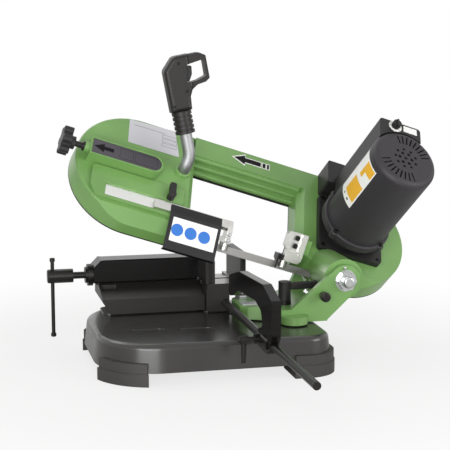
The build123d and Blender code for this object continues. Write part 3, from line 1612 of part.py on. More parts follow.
# Socket screws of the gearbox plate and of the right guide block.
with BuildPart() as socket_screws:
    with BuildSketch(cast_plane(plate_top_w - 4.5)):
        with Locations((motor_x, axle_v)):
            with GridLocations(gear_plate - 17, gear_plate - 17, 2, 2):
                Circle(4.6)
    extrude(amount=4.5)
    with BuildSketch(cast_plane(plate_top_w)):
        with Locations((motor_x, axle_v)):
            with GridLocations(gear_plate - 17, gear_plate - 17, 2, 2):
                RegularPolygon(2.6, 6)
    extrude(amount=-2.5, mode=Mode.SUBTRACT)
    for screw_z in (block_high - 9, block_high - 23):
        with BuildSketch(front_plane(block_front + 5)):
            with Locations((block_left + block_screw_x, screw_z)):
                Circle(4.6)
        extrude(amount=5)
        with BuildSketch(front_plane(block_front)):
            with Locations((block_left + block_screw_x, screw_z)):
                RegularPolygon(2.4, 6)
        extrude(amount=-2.5, mode=Mode.SUBTRACT)
save("socket_screws", socket_screws, BLACK)

flange_w = plate_top_w + collar_length
with BuildPart() as motor_flange:
    with BuildSketch(cast_plane(flange_w)):
        with Locations((motor_x, axle_v)):
            Circle(flange_radius)
            with PolarLocations(flange_radius - 2, 4, start_angle=45):
                Circle(7)
    extrude(amount=flange_thick)
    fillet(motor_flange.faces().sort_by(along_axis(bow_front))[-1].edges(), 3)
save("motor_flange", motor_flange, BLACK)

body_w = flange_w + flange_thick
with BuildPart() as motor_body:
    with BuildSketch(cast_plane(body_w)):
        with Locations((motor_x, axle_v)):
            Circle(motor_radius)
    extrude(amount=motor_length)
save("motor_body", motor_body, BLACK)

cap_w = body_w + motor_length
with BuildPart() as motor_cap:
    with BuildSketch(cast_plane(cap_w)):
        with Locations((motor_x, axle_v)):
            Circle(motor_radius)
    extrude(amount=cap_length)
    fillet(motor_cap.faces().sort_by(along_axis(bow_front))[-1].edges(), cap_length * 0.6)
    # Round air holes in the middle, slots round them.
    with BuildSketch(cast_plane(cap_w + cap_length)):
        with Locations((motor_x, axle_v)):
            Circle(3)
            with PolarLocations(11, 6):
                Circle(3)
            with PolarLocations(19, 9, start_angle=20):
                Circle(2.6)
    extrude(amount=-5, mode=Mode.SUBTRACT)
    for first_slot in (20, 200):
        for slot in range(9):
            slot_turn = first_slot + 11 * slot
            with BuildSketch(cast_plane(cap_w + cap_length)):
                with Locations(Location((motor_x, axle_v)) * Rotation(0, 0, slot_turn) * Location((39, 0))):
                    Rectangle(17, 2.6)
            extrude(amount=-7, mode=Mode.SUBTRACT)
save("motor_cap", motor_cap, BLACK)

with BuildPart() as cable_box:
    with BuildSketch(cast_plane(cast_front)):
        with Locations((beam_right - 17, beam_top - 21)):
            RectangleRounded(cable_box_width, cable_box_height, 4)
    extrude(amount=control_start - cast_front)
    with BuildSketch(cast_plane(cast_front)):
        with Locations((motor_x, axle_v)):
            Rectangle(gear_plate + 0.4, gear_plate + 0.4)
    extrude(amount=gear_plate_thick + 0.4, mode=Mode.SUBTRACT)
    with BuildSketch(cast_plane(cast_front)):
        with Locations((motor_x, axle_v)):
            Circle(flange_radius + 8)
    extrude(amount=60, mode=Mode.SUBTRACT)
save("cable_box", cable_box, BLACK)

with BuildPart() as control_box:
    with BuildSketch(cast_plane(control_start)) as control_outline:
        with BuildLine():
            Polyline(
                (control_left, axle_v + 20),
                (control_left, control_top),
                (control_right, control_top),
                (control_right, axle_v + 20),
                close=True,
            )
        make_face()
        fillet(control_outline.vertices().sort_by(Axis.Y)[2:], 6)
        with Locations((motor_x, axle_v)):
            Circle(motor_radius, mode=Mode.SUBTRACT)
    extrude(amount=control_end - control_start)
save("control_box", control_box, BLACK)

with BuildPart() as speed_dial:
    with BuildSketch(cast_plane(control_end + seat_gap)):
        with Locations((dial_x, control_top - 10)):
            Circle(dial_radius)
    extrude(amount=9)
    with BuildSketch(cast_plane(control_end + seat_gap + 9)):
        with Locations((dial_x, control_top - 10)):
            Rectangle(3, 2 * dial_radius - 2)
    extrude(amount=3)
save("speed_dial", speed_dial, BLACK)

with BuildPart() as cable_gland:
    with BuildSketch(section_plane(control_right)):
        with Locations((control_top - 16, control_start + 30)):
            Circle(9)
            Circle(4, mode=Mode.SUBTRACT)
    extrude(amount=9)
    with BuildSketch(section_plane(control_right + 9)):
        with Locations((control_top - 16, control_start + 30)):
            Circle(7)
            Circle(4, mode=Mode.SUBTRACT)
    extrude(amount=8)
save("cable_gland", cable_gland, BLACK)
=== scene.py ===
# %% [markdown]
# # Portable band saw: giving the CAD model its looks
# The solids come from the CAD model as a fixed frame: every casting, wheel, screw and box already has
# its true size and place. This lesson adds what CAD leaves out: paint, bare metal, moulded plastic,
# printed plates and small marks, then a plain studio. All lengths are in metres.

from math import cos, radians, sin

import bmesh
import bpy
from mathutils import Matrix, Vector


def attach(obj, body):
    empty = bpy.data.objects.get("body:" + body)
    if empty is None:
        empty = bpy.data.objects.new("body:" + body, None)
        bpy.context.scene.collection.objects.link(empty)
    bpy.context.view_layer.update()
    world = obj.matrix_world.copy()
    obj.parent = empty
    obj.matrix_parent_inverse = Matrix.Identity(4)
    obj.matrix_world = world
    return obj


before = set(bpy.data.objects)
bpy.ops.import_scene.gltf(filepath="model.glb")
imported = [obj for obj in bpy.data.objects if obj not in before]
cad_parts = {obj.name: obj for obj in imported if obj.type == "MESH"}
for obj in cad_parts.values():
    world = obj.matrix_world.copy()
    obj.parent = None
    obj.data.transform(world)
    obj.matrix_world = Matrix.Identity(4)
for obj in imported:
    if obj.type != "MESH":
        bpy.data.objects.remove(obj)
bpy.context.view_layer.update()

# %% [markdown]
# ## The bow's own axes
# The saw's bow leans back by 45 degrees and stands raised about its hinge. Plates, arrows and dials lie
# in its slanted faces, so it is easiest to draw them flat and let one matrix carry them there. Local x
# runs along the bow, local y up its slope and local z straight out of its front.

# %% Matrix of the bow
BOW_RISE = radians(18.2)
HINGE = Vector((0.231, 0.0, 0.1325))

lean = Matrix.Rotation(radians(45), 4, "X")
raise_bow = Matrix.Translation(HINGE) @ Matrix.Rotation(BOW_RISE, 4, "Y") @ Matrix.Translation(-HINGE)
bow_matrix = raise_bow @ lean
print("bow's front faces", [round(c, 3) for c in (bow_matrix.to_3x3() @ Vector((0, 0, 1)))])


# %% Finding a face
def face_height(node, x, y, axes=bow_matrix):
    """Height of a node's front face in the bow's axes, or in others, at their x and y."""
    start = axes @ Vector((x, y, 0.5))
    inwards = (axes.to_3x3() @ Vector((0, 0, -1))).normalized()
    hit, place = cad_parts[node].ray_cast(start, inwards)[:2]
    if not hit:
        raise RuntimeError(f"nothing of {node} at {x}, {y}")
    return (axes.inverted() @ place).z


AXLE_Y = 0.211762       # line of both wheel axles, in the bow's axes
print("beam's face lies at", round(face_height("bow_casting", 0.07, 0.311), 4))

# %% [markdown]
# ## Colours and nodes
# Colours are written as sRGB hex values, as a paint chart gives them, and one function turns them into
# the linear numbers that Blender's shaders want. One small function adds a node with its settings and
# its links, so that each material reads as a short list.


# %% Colour and node helpers
MM = 0.001


def paint_chart(hex_colour):
    """Linear RGBA of an sRGB hex value."""
    channels = [int(hex_colour[i:i + 2], 16) / 255 for i in (1, 3, 5)]
    linear = [c / 12.92 if c <= 0.04045 else ((c + 0.055) / 1.055) ** 2.4 for c in channels]
    return (*linear, 1.0)


def add_node(material, kind, links=(), settings=(), **values):
    """Add a node, set its properties and sockets, and link (output, input) pairs into it."""
    node = material.node_tree.nodes.new(kind)
    for name, value in settings:
        setattr(node, name, value)
    for name, value in values.items():
        socket = node.inputs[name.replace("_", " ")]
        socket.default_value = value
    for output, name in links:
        material.node_tree.links.new(output, node.inputs[name])
    return node


def new_material(name, colour, roughness, metallic=0.0, ior=1.5):
    """A material with one Principled shader at a typical value of its kind."""
    material = bpy.data.materials.new(name)
    material.use_nodes = True
    shader = material.node_tree.nodes["Principled BSDF"]
    shader.inputs["Base Color"].default_value = paint_chart(colour)
    shader.inputs["Roughness"].default_value = roughness
    shader.inputs["Metallic"].default_value = metallic
    shader.inputs["IOR"].default_value = ior
    return material, shader


def link(material, output, shader, name):
    """Link one output to a named socket."""
    material.node_tree.links.new(output, shader.inputs[name])


def spread(material, factor, low, high):
    """Carry a 0 to 1 output onto the range from low to high."""
    reach = add_node(material, "ShaderNodeMapRange", links=[(factor, "Value")], To_Min=low, To_Max=high)
    return reach.outputs["Result"]


print("helpers ready")

# %% [markdown]
# ## Green enamel on cast aluminium
# The bow and the swivel arm are sand-cast aluminium under a sprayed two-pack enamel. Such paint is a
# smooth, slightly glossy coat with a faint orange peel of about 2 mm, and a little tonal drift where it
# went on thicker. Noise in the bump gives the peel, slow noise in the colour gives the drift, and a
# Bevel node rounds the light on the casting's edges as the thick paint does.


# %% Enamel
def surface_coordinates(material):
    """Object coordinates of the piece, in metres."""
    return add_node(material, "ShaderNodeTexCoord").outputs["Object"]


def pattern(material, size_mm, detail=2.0):
    """Noise whose grains are size_mm across, from 0 to 1."""
    links = [(surface_coordinates(material), "Vector")]
    noise = add_node(material, "ShaderNodeTexNoise", links=links, Scale=1 / (size_mm * MM), Detail=detail)
    return noise.outputs["Fac"]


def add_bump(material, shader, height, depth_mm, edge_mm):
    """Bump of a real depth, over edges rounded by edge_mm."""
    rounding = add_node(material, "ShaderNodeBevel", settings=[("samples", 4)], Radius=edge_mm * MM)
    links = [(height, "Height"), (rounding.outputs["Normal"], "Normal")]
    bump = add_node(material, "ShaderNodeBump", links=links, Strength=1.0, Distance=depth_mm * MM)
    link(material, bump.outputs["Normal"], shader, "Normal")


def set_shine(material, level):
    """No clear coat, and a mirror reflection that a fine texture or dust cuts below the usual 0.5."""
    shader = material.node_tree.nodes["Principled BSDF"]
    shader.inputs["Specular IOR Level"].default_value = level
    shader.inputs["Coat Weight"].default_value = 0.0


def colour_drift(material, shader, factor, dark, light, start=0.0, end=1.0):
    """Let a 0 to 1 output carry the base colour from dark, at start, to light, at end."""
    ramp = add_node(material, "ShaderNodeValToRGB", links=[(factor, "Fac")])
    for stop, colour, position in zip(ramp.color_ramp.elements, (dark, light), (start, end)):
        stop.color = paint_chart(colour)
        stop.position = position
    link(material, ramp.outputs["Color"], shader, "Base Color")


def enamel(name, dark, light, roughness, peel_mm=2.2, peel_depth=0.012, edge_mm=1.2):
    """Sprayed enamel: tonal drift, orange peel and rounded edges."""
    material, shader = new_material(name, light, roughness)
    thickness = pattern(material, 90, detail=1.0)
    colour_drift(material, shader, thickness, dark, light, 0.3, 0.7)
    peel = pattern(material, peel_mm, detail=1.0)
    add_bump(material, shader, peel, peel_depth, edge_mm)
    shader.inputs["Coat Weight"].default_value = 0.25
    shader.inputs["Coat Roughness"].default_value = 0.18
    return material


green_enamel = enamel("green enamel", "#6B9650", "#77A35B", 0.36)
print("made", green_enamel.name)

# %% [markdown]
# ## Black paints
# The pan is pressed sheet in a satin black baked enamel that shows long soft reflections. The vise is
# cast iron, painted over a rough sand-cast skin, so its grain is coarser and its coat duller. The vise's
# carriage and the stop arm have a smoother, deeper black, and the guard a dull one. The stop rod and the
# small steel pieces are blackened steel, with a thin oily shine.

# %% Pan enamel, vise paint and blackened steel
pan_enamel = enamel(
    "satin black enamel", "#282625", "#2E2C2B", 0.25, peel_mm=1.6, peel_depth=0.006, edge_mm=1.5
)


def cast_iron_paint(name, dark, light, roughness):
    """Paint over a sand-cast skin: pits of about 1.5 mm under the coat."""
    material, shader = new_material(name, light, roughness)
    skin = pattern(material, 1.5, detail=4.0)
    colour_drift(material, shader, skin, dark, light)
    add_bump(material, shader, skin, 0.10, 1.0)
    return material


vise_paint = cast_iron_paint("painted cast iron", "#171514", "#2B2827", 0.36)
set_shine(vise_paint, 0.35)
black_steel, shader = new_material("blackened steel", "#262523", 0.30, metallic=0.6)
oil = pattern(black_steel, 6.0, detail=3.0)
link(black_steel, spread(black_steel, oil, 0.24, 0.40), shader, "Roughness")
guard_paint = enamel("guard enamel", "#121113", "#181719", 0.40, edge_mm=0.5)
gloss_paint = enamel(
    "gloss black enamel", "#0B0A0A", "#110F0E", 0.22, peel_mm=2.5, peel_depth=0.010, edge_mm=1.0
)
set_shine(guard_paint, 0.35)
set_shine(gloss_paint, 0.20)
print("made", pan_enamel.name, vise_paint.name, black_steel.name, guard_paint.name)

# %% [markdown]
# ## Moulded plastics
# The grip, motor, boxes and knobs are glass-filled nylon: a warm near-black with a fine spark-eroded
# grain of about half a millimetre that scatters the light. The grain is drawn a little coarser than
# real so that it still shows.


# %% Nylon and rubber
def moulded(name, dark, light, roughness, grain_mm=0.8, grain_depth=0.03, edge_mm=0.8):
    """Moulded plastic or rubber with a spark-eroded grain."""
    material, shader = new_material(name, light, roughness, ior=1.53)
    grain = pattern(material, grain_mm)
    colour_drift(material, shader, grain, dark, light)
    add_bump(material, shader, grain, grain_depth, edge_mm)
    return material


black_nylon = moulded("glass-filled nylon", "#1E1D1D", "#282626", 0.44)
grip_nylon = moulded("grained grip nylon", "#181615", "#221F1E", 0.42, grain_mm=1.0, grain_depth=0.05)
motor_nylon = moulded("motor housing nylon", "#2B292C", "#363336", 0.50)
set_shine(black_nylon, 0.30)
set_shine(grip_nylon, 0.35)
set_shine(motor_nylon, 0.35)
shoe_rubber = moulded("hard foot rubber", "#2A2827", "#35322F", 0.55, grain_mm=1.4)
tyre_rubber = moulded("wheel tyre rubber", "#141414", "#1C1C1C", 0.75)
cord_rubber = moulded("cord sleeve rubber", "#151515", "#1B1B1B", 0.65)
print("made six moulded materials")

# %% [markdown]
# ## Bare metals
# Guide blocks, bolts and screws are zinc-plated or milled steel. Milling leaves fine straight marks
# about 0.5 mm apart, so a noise stretched along one axis breaks up the shine. The handle's tube is
# satin chrome and the wheels are turned cast iron. The two plates are rolled or anodised aluminium.


# %% Steels
def bare_metal(name, dark, light, rough_low, rough_high, mark_mm=(12.0, 0.6, 0.6), depth=0.004):
    """Metal with tool marks of a given length along x, y and z."""
    material, shader = new_material(name, light, rough_low, metallic=1.0)
    stretch = add_node(
        material, "ShaderNodeMapping", links=[(surface_coordinates(material), "Vector")],
        Scale=[1 / (length * MM) for length in mark_mm],
    )
    noise = add_node(
        material, "ShaderNodeTexNoise", links=[(stretch.outputs["Vector"], "Vector")], Scale=1.0, Detail=3.0
    )
    marks = noise.outputs["Fac"]
    colour_drift(material, shader, marks, dark, light)
    link(material, spread(material, marks, rough_low, rough_high), shader, "Roughness")
    add_bump(material, shader, marks, depth, 0.4)
    return material


milled_steel = bare_metal("milled steel", "#B9B8B4", "#E4E3DF", 0.26, 0.42)
zinc_plate = bare_metal("zinc-plated steel", "#A9ACAB", "#D8DADA", 0.18, 0.34, (2.0, 2.0, 2.0))
ground_steel = bare_metal("ground guideway steel", "#D9D9D6", "#F4F4F2", 0.30, 0.48, (30.0, 0.5, 0.5))
band_metal = bare_metal("spring steel band", "#8E8C8A", "#BDBBB8", 0.26, 0.44, (20.0, 0.4, 0.4))
turned_iron = bare_metal("turned cast iron", "#77797B", "#9A9C9E", 0.36, 0.5)
tube_steel = bare_metal(
    "satin chromed tube", "#949596", "#A6A7A8", 0.46, 0.56, mark_mm=(4.0, 4.0, 4.0), depth=0.002
)
rolled_plate = bare_metal("rolled aluminium plate", "#C4C4C8", "#D8D8DC", 0.34, 0.46, (25.0, 0.4, 0.4))
grey_plate = bare_metal("grey anodised plate", "#565359", "#646166", 0.38, 0.50, (15.0, 0.5, 0.5))
machined_iron = bare_metal("machined cast iron", "#8D8B88", "#B2B0AC", 0.28, 0.42, (0.6, 18.0, 0.6))
print("made nine bare metals")

# %% [markdown]
# ## Dressing the CAD nodes
# Each solid keeps its shape and takes the finish of the real piece, by assigning the material to its
# mesh. The list runs from finish to nodes, so a node that was forgotten shows up as left bare.

# %% Give every node its finish
finishes = {
    green_enamel: ["bow_casting", "swivel_arm"],
    pan_enamel: ["base_pan"],
    shoe_rubber: ["corner_shoes"],
    vise_paint: ["vise_bed", "table_block", "fixed_jaw", "moving_jaw"],
    gloss_paint: ["vise_carriage", "stop_arm"],
    black_steel: [
        "tommy_bar", "vise_screw", "tension_screw", "stop_clamp_screw", "stop_rod", "lock_post",
        "lock_pin", "right_guide_holder", "chip_scraper", "socket_screws",
    ],
    zinc_plate: ["vise_nut", "swivel_bolt", "hinge_bolt_front", "hinge_nut", "hinge_bolt_rear"],
    milled_steel: [
        "guide_bar", "left_guide_block", "left_guide_rollers", "right_guide_block", "right_guide_rollers",
        "drive_shaft", "idler_carriage", "idler_axle",
    ],
    ground_steel: ["guideway"],
    band_metal: ["saw_band"],
    turned_iron: ["idler_wheel", "drive_wheel"],
    tyre_rubber: ["idler_tyre", "drive_tyre"],
    tube_steel: ["handle_tube"],
    rolled_plate: ["rating_plate", "mitre_scale"],
    grey_plate: ["arrow_plate"],
    guard_paint: ["band_guard"],
    grip_nylon: ["grip_front", "grip_rear"],
    black_nylon: [
        "trigger", "control_box", "cable_box", "speed_dial", "lock_lever", "guide_lock_lever",
        "tension_knob", "rear_cover", "gearbox_plate",
    ],
    motor_nylon: ["motor_flange", "motor_body", "motor_cap"],
    cord_rubber: ["cable_gland"],
}
dressed = set()
for material, names in finishes.items():
    for name in names:
        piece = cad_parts[name]
        piece.data.materials.clear()
        piece.data.materials.append(material)
        dressed.add(name)
print("nodes left bare:", sorted(set(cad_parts) - dressed))

# The tops of the table and of the bed are milled bare, so only their level faces get the metal.
LOWEST_TOP = 0.106
NEARLY_LEVEL = 0.95
for name in ("table_block", "vise_bed"):
    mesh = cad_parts[name].data
    mesh.materials.append(machined_iron)
    for face in mesh.polygons:
        if face.normal.z > NEARLY_LEVEL and face.center.z > LOWEST_TOP:
            face.material_index = 1
print("milled tops on the table and the bed")

# %% [markdown]
# ## Printed plates and films
# The arrows, the white film on the blade guard and the yellow panels on the motor are thin printed
# films. Each is modelled as a real sheet of 0.08 to 0.3 mm, so that it catches the light along its rim,
# and a print that lies on another stands a little higher. They stay plain: arrows, discs, rules and
# ticks, and no wording.

# %% Inks and films
def printed_film(name, colour, roughness=0.35):
    """Gloss film with a faint unevenness in its print."""
    material, shader = new_material(name, colour, roughness, ior=1.46)
    gloss = spread(material, pattern(material, 3.0), roughness - 0.05, roughness + 0.08)
    link(material, gloss, shader, "Roughness")
    return material


white_film = printed_film("white label film", "#F1F1EE")
blue_ink = printed_film("blue print", "#2F73C9")
black_ink = printed_film("black print", "#121113", 0.42)
yellow_ink = printed_film("yellow print", "#EDB431")
set_shine(black_ink, 0.15)
print("made four prints")


# %% Flat shapes
RULE_FILM = 0.08 * MM
PLATE_PRINT = 0.12 * MM
UNDER_FILM = 0.15 * MM
LABEL_FILM = 0.2 * MM
OVER_FILM = 0.25 * MM
OVER_LABEL = 0.3 * MM


def start_clean():
    """Leave object mode with nothing selected."""
    if bpy.context.object and bpy.context.object.mode != "OBJECT":
        bpy.ops.object.mode_set(mode="OBJECT")
    bpy.ops.object.select_all(action="DESELECT")


def finish_piece(piece, name, material, body, matrix):
    """Name, finish and seat one piece: its place goes into its mesh, and it rides on a body."""
    start_clean()
    piece.select_set(True)
    bpy.context.view_layer.objects.active = piece
    bpy.ops.object.transform_apply(location=True, rotation=True, scale=True)
    piece.data.transform(matrix)
    bpy.ops.object.mode_set(mode="EDIT")
    bpy.ops.mesh.select_all(action="SELECT")
    bpy.ops.mesh.normals_make_consistent(inside=False)
    bpy.ops.object.mode_set(mode="OBJECT")
    piece.name = name
    piece.data.materials.clear()
    piece.data.materials.append(material)
    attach(piece, body)
    return piece


def thicken(piece, thickness, side=1):
    """Give a sheet its thickness: upwards, or to both sides where side is 0."""
    sheet = piece.modifiers.new("thickness", "SOLIDIFY")
    sheet.thickness = thickness
    sheet.offset = side
    bpy.context.view_layer.objects.active = piece
    bpy.ops.object.modifier_apply(modifier=sheet.name)


def print_on(piece, thickness, name, material, matrix, body="bow"):
    """Turn a flat shape into a film that lies in the plane of a matrix."""
    thicken(piece, thickness)
    return finish_piece(piece, name, material, body, matrix)


def film(x, y, width, height, corner=0.0):
    """A flat rectangle at z = 0, with its corners rounded by corner."""
    start_clean()
    bpy.ops.mesh.primitive_plane_add(size=1, location=(x, y, 0))
    piece = bpy.context.object
    piece.scale = (width, height, 1)
    bpy.ops.object.transform_apply(location=True, rotation=True, scale=True)
    if corner:
        bpy.ops.object.mode_set(mode="EDIT")
        bpy.ops.mesh.select_all(action="SELECT")
        bpy.ops.mesh.bevel(offset=corner, segments=5, affect="VERTICES")
        bpy.ops.object.mode_set(mode="OBJECT")
    return piece


def disc(x, y, radius, sides=40):
    """A flat disc at z = 0."""
    start_clean()
    bpy.ops.mesh.primitive_circle_add(vertices=sides, radius=radius, fill_type="NGON", location=(x, y, 0))
    return bpy.context.object


print("film helpers ready")

# %% [markdown]
# ## The travel arrows
# One arrow is printed on the beam and one on the grey plate, and both point the way the band runs. An
# arrow starts as a rectangle for the shaft. Its left edge is extruded in place and scaled up to make
# the barbs, then extruded again and scaled almost to nothing for the tip.


# %% Arrow
def arrow(tail, barbs, tip, y, shaft_width, head_width):
    """A flat arrow that points to -x, at z = 0."""
    piece = film((tail + barbs) / 2, y, tail - barbs, shaft_width)
    bpy.ops.object.mode_set(mode="EDIT")
    bpy.ops.mesh.select_mode(type="EDGE")
    bpy.ops.mesh.select_all(action="DESELECT")
    bpy.ops.object.mode_set(mode="OBJECT")
    for edge in piece.data.edges:
        ends = [piece.data.vertices[i].co.x for i in edge.vertices]
        edge.select = max(ends) < barbs + 1e-5
    bpy.ops.object.mode_set(mode="EDIT")
    middle = (barbs, y, 0)
    bpy.ops.mesh.extrude_edges_move()
    bpy.ops.transform.resize(value=(1, head_width / shaft_width, 1), center_override=middle)
    bpy.ops.mesh.extrude_edges_move(TRANSFORM_OT_translate={"value": (tip - barbs, 0, 0)})
    bpy.ops.transform.resize(value=(1, 0.02, 1), center_override=(tip, y, 0))
    bpy.ops.object.mode_set(mode="OBJECT")
    return piece


BEAM_Y = 0.3047
DASH_WIDTH = 0.0106
beam_face = face_height("bow_casting", 0.075, BEAM_Y)
on_beam = bow_matrix @ Matrix.Translation((0, 0, beam_face))
outline = arrow(tail=0.0965, barbs=0.0655, tip=0.0400, y=BEAM_Y, shaft_width=0.0135, head_width=0.0270)
print_on(outline, UNDER_FILM, "beam_arrow_outline", white_film, on_beam)
inner = arrow(tail=0.0955, barbs=0.0648, tip=0.0440, y=BEAM_Y, shaft_width=0.0100, head_width=0.0210)
print_on(inner, OVER_FILM, "beam_arrow", black_ink, on_beam)
for count, (left, length) in enumerate(((0.0990, 0.0055), (0.1075, 0.0040))):
    middle = left + length / 2
    rim = film(middle, BEAM_Y, length + 0.0024, DASH_WIDTH + 0.0032)
    print_on(rim, UNDER_FILM, f"beam_dash_outline_{count}", white_film, on_beam)
    dash = film(middle, BEAM_Y, length, DASH_WIDTH)
    print_on(dash, OVER_FILM, f"beam_dash_{count}", black_ink, on_beam)
print("arrow on the beam at", round(beam_face, 4))

# %% [markdown]
# ## The two plates
# The grey plate on the tension pad carries an arrow and two empty ruled fields. The bare rating plate
# has one rule and three empty boxes, where the real one has its wording.


# %% Rules
FIELD_LINE = 0.4 * MM


def ruled_box(x, y, width, height, matrix, name):
    """A thin printed frame round an empty field."""
    piece = film(x, y, width, height)
    bpy.ops.object.mode_set(mode="EDIT")
    bpy.ops.mesh.select_all(action="SELECT")
    bpy.ops.mesh.inset(thickness=FIELD_LINE, depth=0)
    bpy.ops.mesh.delete(type="FACE")
    bpy.ops.object.mode_set(mode="OBJECT")
    return print_on(piece, RULE_FILM, name, black_ink, matrix)


PLATE_X = -0.16
grey_face = face_height("arrow_plate", PLATE_X, AXLE_Y)
on_grey = bow_matrix @ Matrix.Translation((0, 0, grey_face))
pointer = arrow(tail=-0.1780, barbs=-0.1950, tip=-0.2125, y=AXLE_Y, shaft_width=0.0075, head_width=0.0180)
print_on(pointer, PLATE_PRINT, "plate_arrow", black_ink, on_grey)
for count, (x, width) in enumerate(((-0.1555, 0.0235), (-0.1205, 0.0400))):
    ruled_box(x, AXLE_Y, width, 0.0215, on_grey, f"plate_field_{count}")

RATING_X, RATING_Y = -0.11, 0.295
bare_face = face_height("rating_plate", RATING_X, RATING_Y)
on_bare = bow_matrix @ Matrix.Translation((0, 0, bare_face))
for count, y in enumerate((0.3005, 0.2910, 0.2815)):
    ruled_box(-0.0775, y, 0.0270, 0.0070, on_bare, f"rating_field_{count}")
rule = film(-0.1160, 0.3065, 0.0560, 0.0005)
print_on(rule, RULE_FILM, "rating_rule", black_ink, on_bare)
print("grey plate at", round(grey_face, 4), "and rating plate at", round(bare_face, 4))


# %% [markdown]
# ## Film on the blade guard
# The guard is a bent sheet that leans over the band, and a white film covers most of it, with three
# plain blue discs. Its own matrix lies in the leaning sheet: local x along the bow, local y up the
# sheet. The film's height is found by a ray, so it lies on the sheet whatever its lean.

# %% Guard film
GUARD_LEAN = radians(20)
GUARD_MIDDLE = (-0.0195, 0.0275, 0.1275)
FILM_Y = -0.0024
up_the_sheet = Matrix.Rotation(radians(90) - GUARD_LEAN, 4, "X")
guard_matrix = raise_bow @ Matrix.Translation(GUARD_MIDDLE) @ up_the_sheet
guard_face = face_height("band_guard", 0, 0, guard_matrix)
on_guard = guard_matrix @ Matrix.Translation((0, 0, guard_face))
sheet = film(0.0005, FILM_Y, 0.079, 0.041, corner=0.0008)
print_on(sheet, LABEL_FILM, "guard_film", white_film, on_guard, "guide_arm")
for count, x in enumerate((-0.0285, -0.0045, 0.0195)):
    spot = disc(x, FILM_Y, 0.0105)
    print_on(spot, OVER_LABEL, f"guard_disc_{count}", blue_ink, on_guard, "guide_arm")
print("guard film and three discs ride on the guide arm")

# %% [markdown]
# ## Label round the motor
# A flat sheet would stand off the round housing. One upright edge, spun about the motor's axis, makes a
# sheet with exactly the housing's curve. Three yellow panels and two black marks are spun a little
# further out. Angles run from the bow's x, and the prints' heights from the label's lower edge.

# %% Spun label
MOTOR_X = 0.2665
MOTOR_R = 0.0575
LABEL_R = MOTOR_R + 0.2 * MM
PRINT_R = MOTOR_R + 0.32 * MM
motor_matrix = bow_matrix @ Matrix.Translation((MOTOR_X, AXLE_Y, 0))


def wrapped_film(radius, first_degrees, last_degrees, low, high):
    """A sheet round the motor, between two angles and two heights along its axis."""
    start_clean()
    bpy.ops.mesh.primitive_plane_add(size=1, location=(0, 0, 0))
    piece = bpy.context.object
    mesh = bmesh.new()
    mesh.from_mesh(piece.data)
    corners = sorted(mesh.verts, key=lambda corner: corner.co.x)
    bmesh.ops.delete(mesh, geom=corners[2:], context="VERTS")
    mesh.verts.ensure_lookup_table()
    angle = radians(first_degrees)
    for corner, height in zip(mesh.verts, (low, high)):
        corner.co = (radius * cos(angle), radius * sin(angle), height)
    mesh.to_mesh(piece.data)
    mesh.free()
    bpy.ops.object.mode_set(mode="EDIT")
    bpy.ops.mesh.select_all(action="SELECT")
    bpy.ops.mesh.spin(
        steps=20, angle=radians(first_degrees - last_degrees), center=(0, 0, 0), axis=(0, 0, 1)
    )
    bpy.ops.object.mode_set(mode="OBJECT")
    return piece


def spun_label(name, material, radius, first_degrees, last_degrees, low, high):
    """Give a wrapped film its thickness and its place."""
    piece = wrapped_film(radius, first_degrees, last_degrees, low, high)
    thicken(piece, LABEL_FILM, side=0)
    return finish_piece(piece, name, material, "bow", motor_matrix)


RIM_FACE = 0.0565       # from the motor's axis to a point on the flange's front
flange_top = face_height("motor_flange", MOTOR_X + RIM_FACE, AXLE_Y)
label_low, label_high = flange_top + 0.058, flange_top + 0.1565
spun_label("motor_label", white_film, LABEL_R, 167, 218, label_low, label_high)
panels = ((184, 215.5, 0.0130, 0.0520), (190, 199, 0.0630, 0.0960), (199, 216, 0.0770, 0.0960))
marks = ((187, 190, 0.0050, 0.0085), (200, 205, 0.0050, 0.0085))
for kind, ink, prints in (("panel", yellow_ink, panels), ("mark", black_ink, marks)):
    for count, (first, last, low, high) in enumerate(prints):
        spun_label(f"motor_{kind}_{count}", ink, PRINT_R, first, last, label_low + low, label_low + high)
print("label from", round(label_low, 3), "to", round(label_high, 3), "along the motor")

# %% [markdown]
# ## Screws and a weld
# Socket screws hold the left guide head and the motor's flange. One screw is a disc that is extruded
# to its head's height, inset, and pushed down again for the socket. A bead of weld, painted with the
# casting, runs round the foot of the handle's tube: a small circle, spun about the tube.

# %% Socket screws
def socket_screw(name, radius, height, material, body, matrix):
    """A cylinder head with a socket, standing on z = 0 of its matrix."""
    piece = disc(0, 0, radius, sides=28)
    bpy.ops.object.mode_set(mode="EDIT")
    bpy.ops.mesh.select_all(action="SELECT")
    bpy.ops.mesh.extrude_region_move(TRANSFORM_OT_translate={"value": (0, 0, height)})
    bpy.ops.mesh.inset(thickness=radius * 0.12, depth=radius * 0.10)
    bpy.ops.mesh.inset(thickness=radius * 0.38, depth=0)
    bpy.ops.mesh.extrude_region_move(TRANSFORM_OT_translate={"value": (0, 0, -height * 0.6)})
    bpy.ops.object.mode_set(mode="OBJECT")
    return finish_piece(piece, name, material, body, matrix)


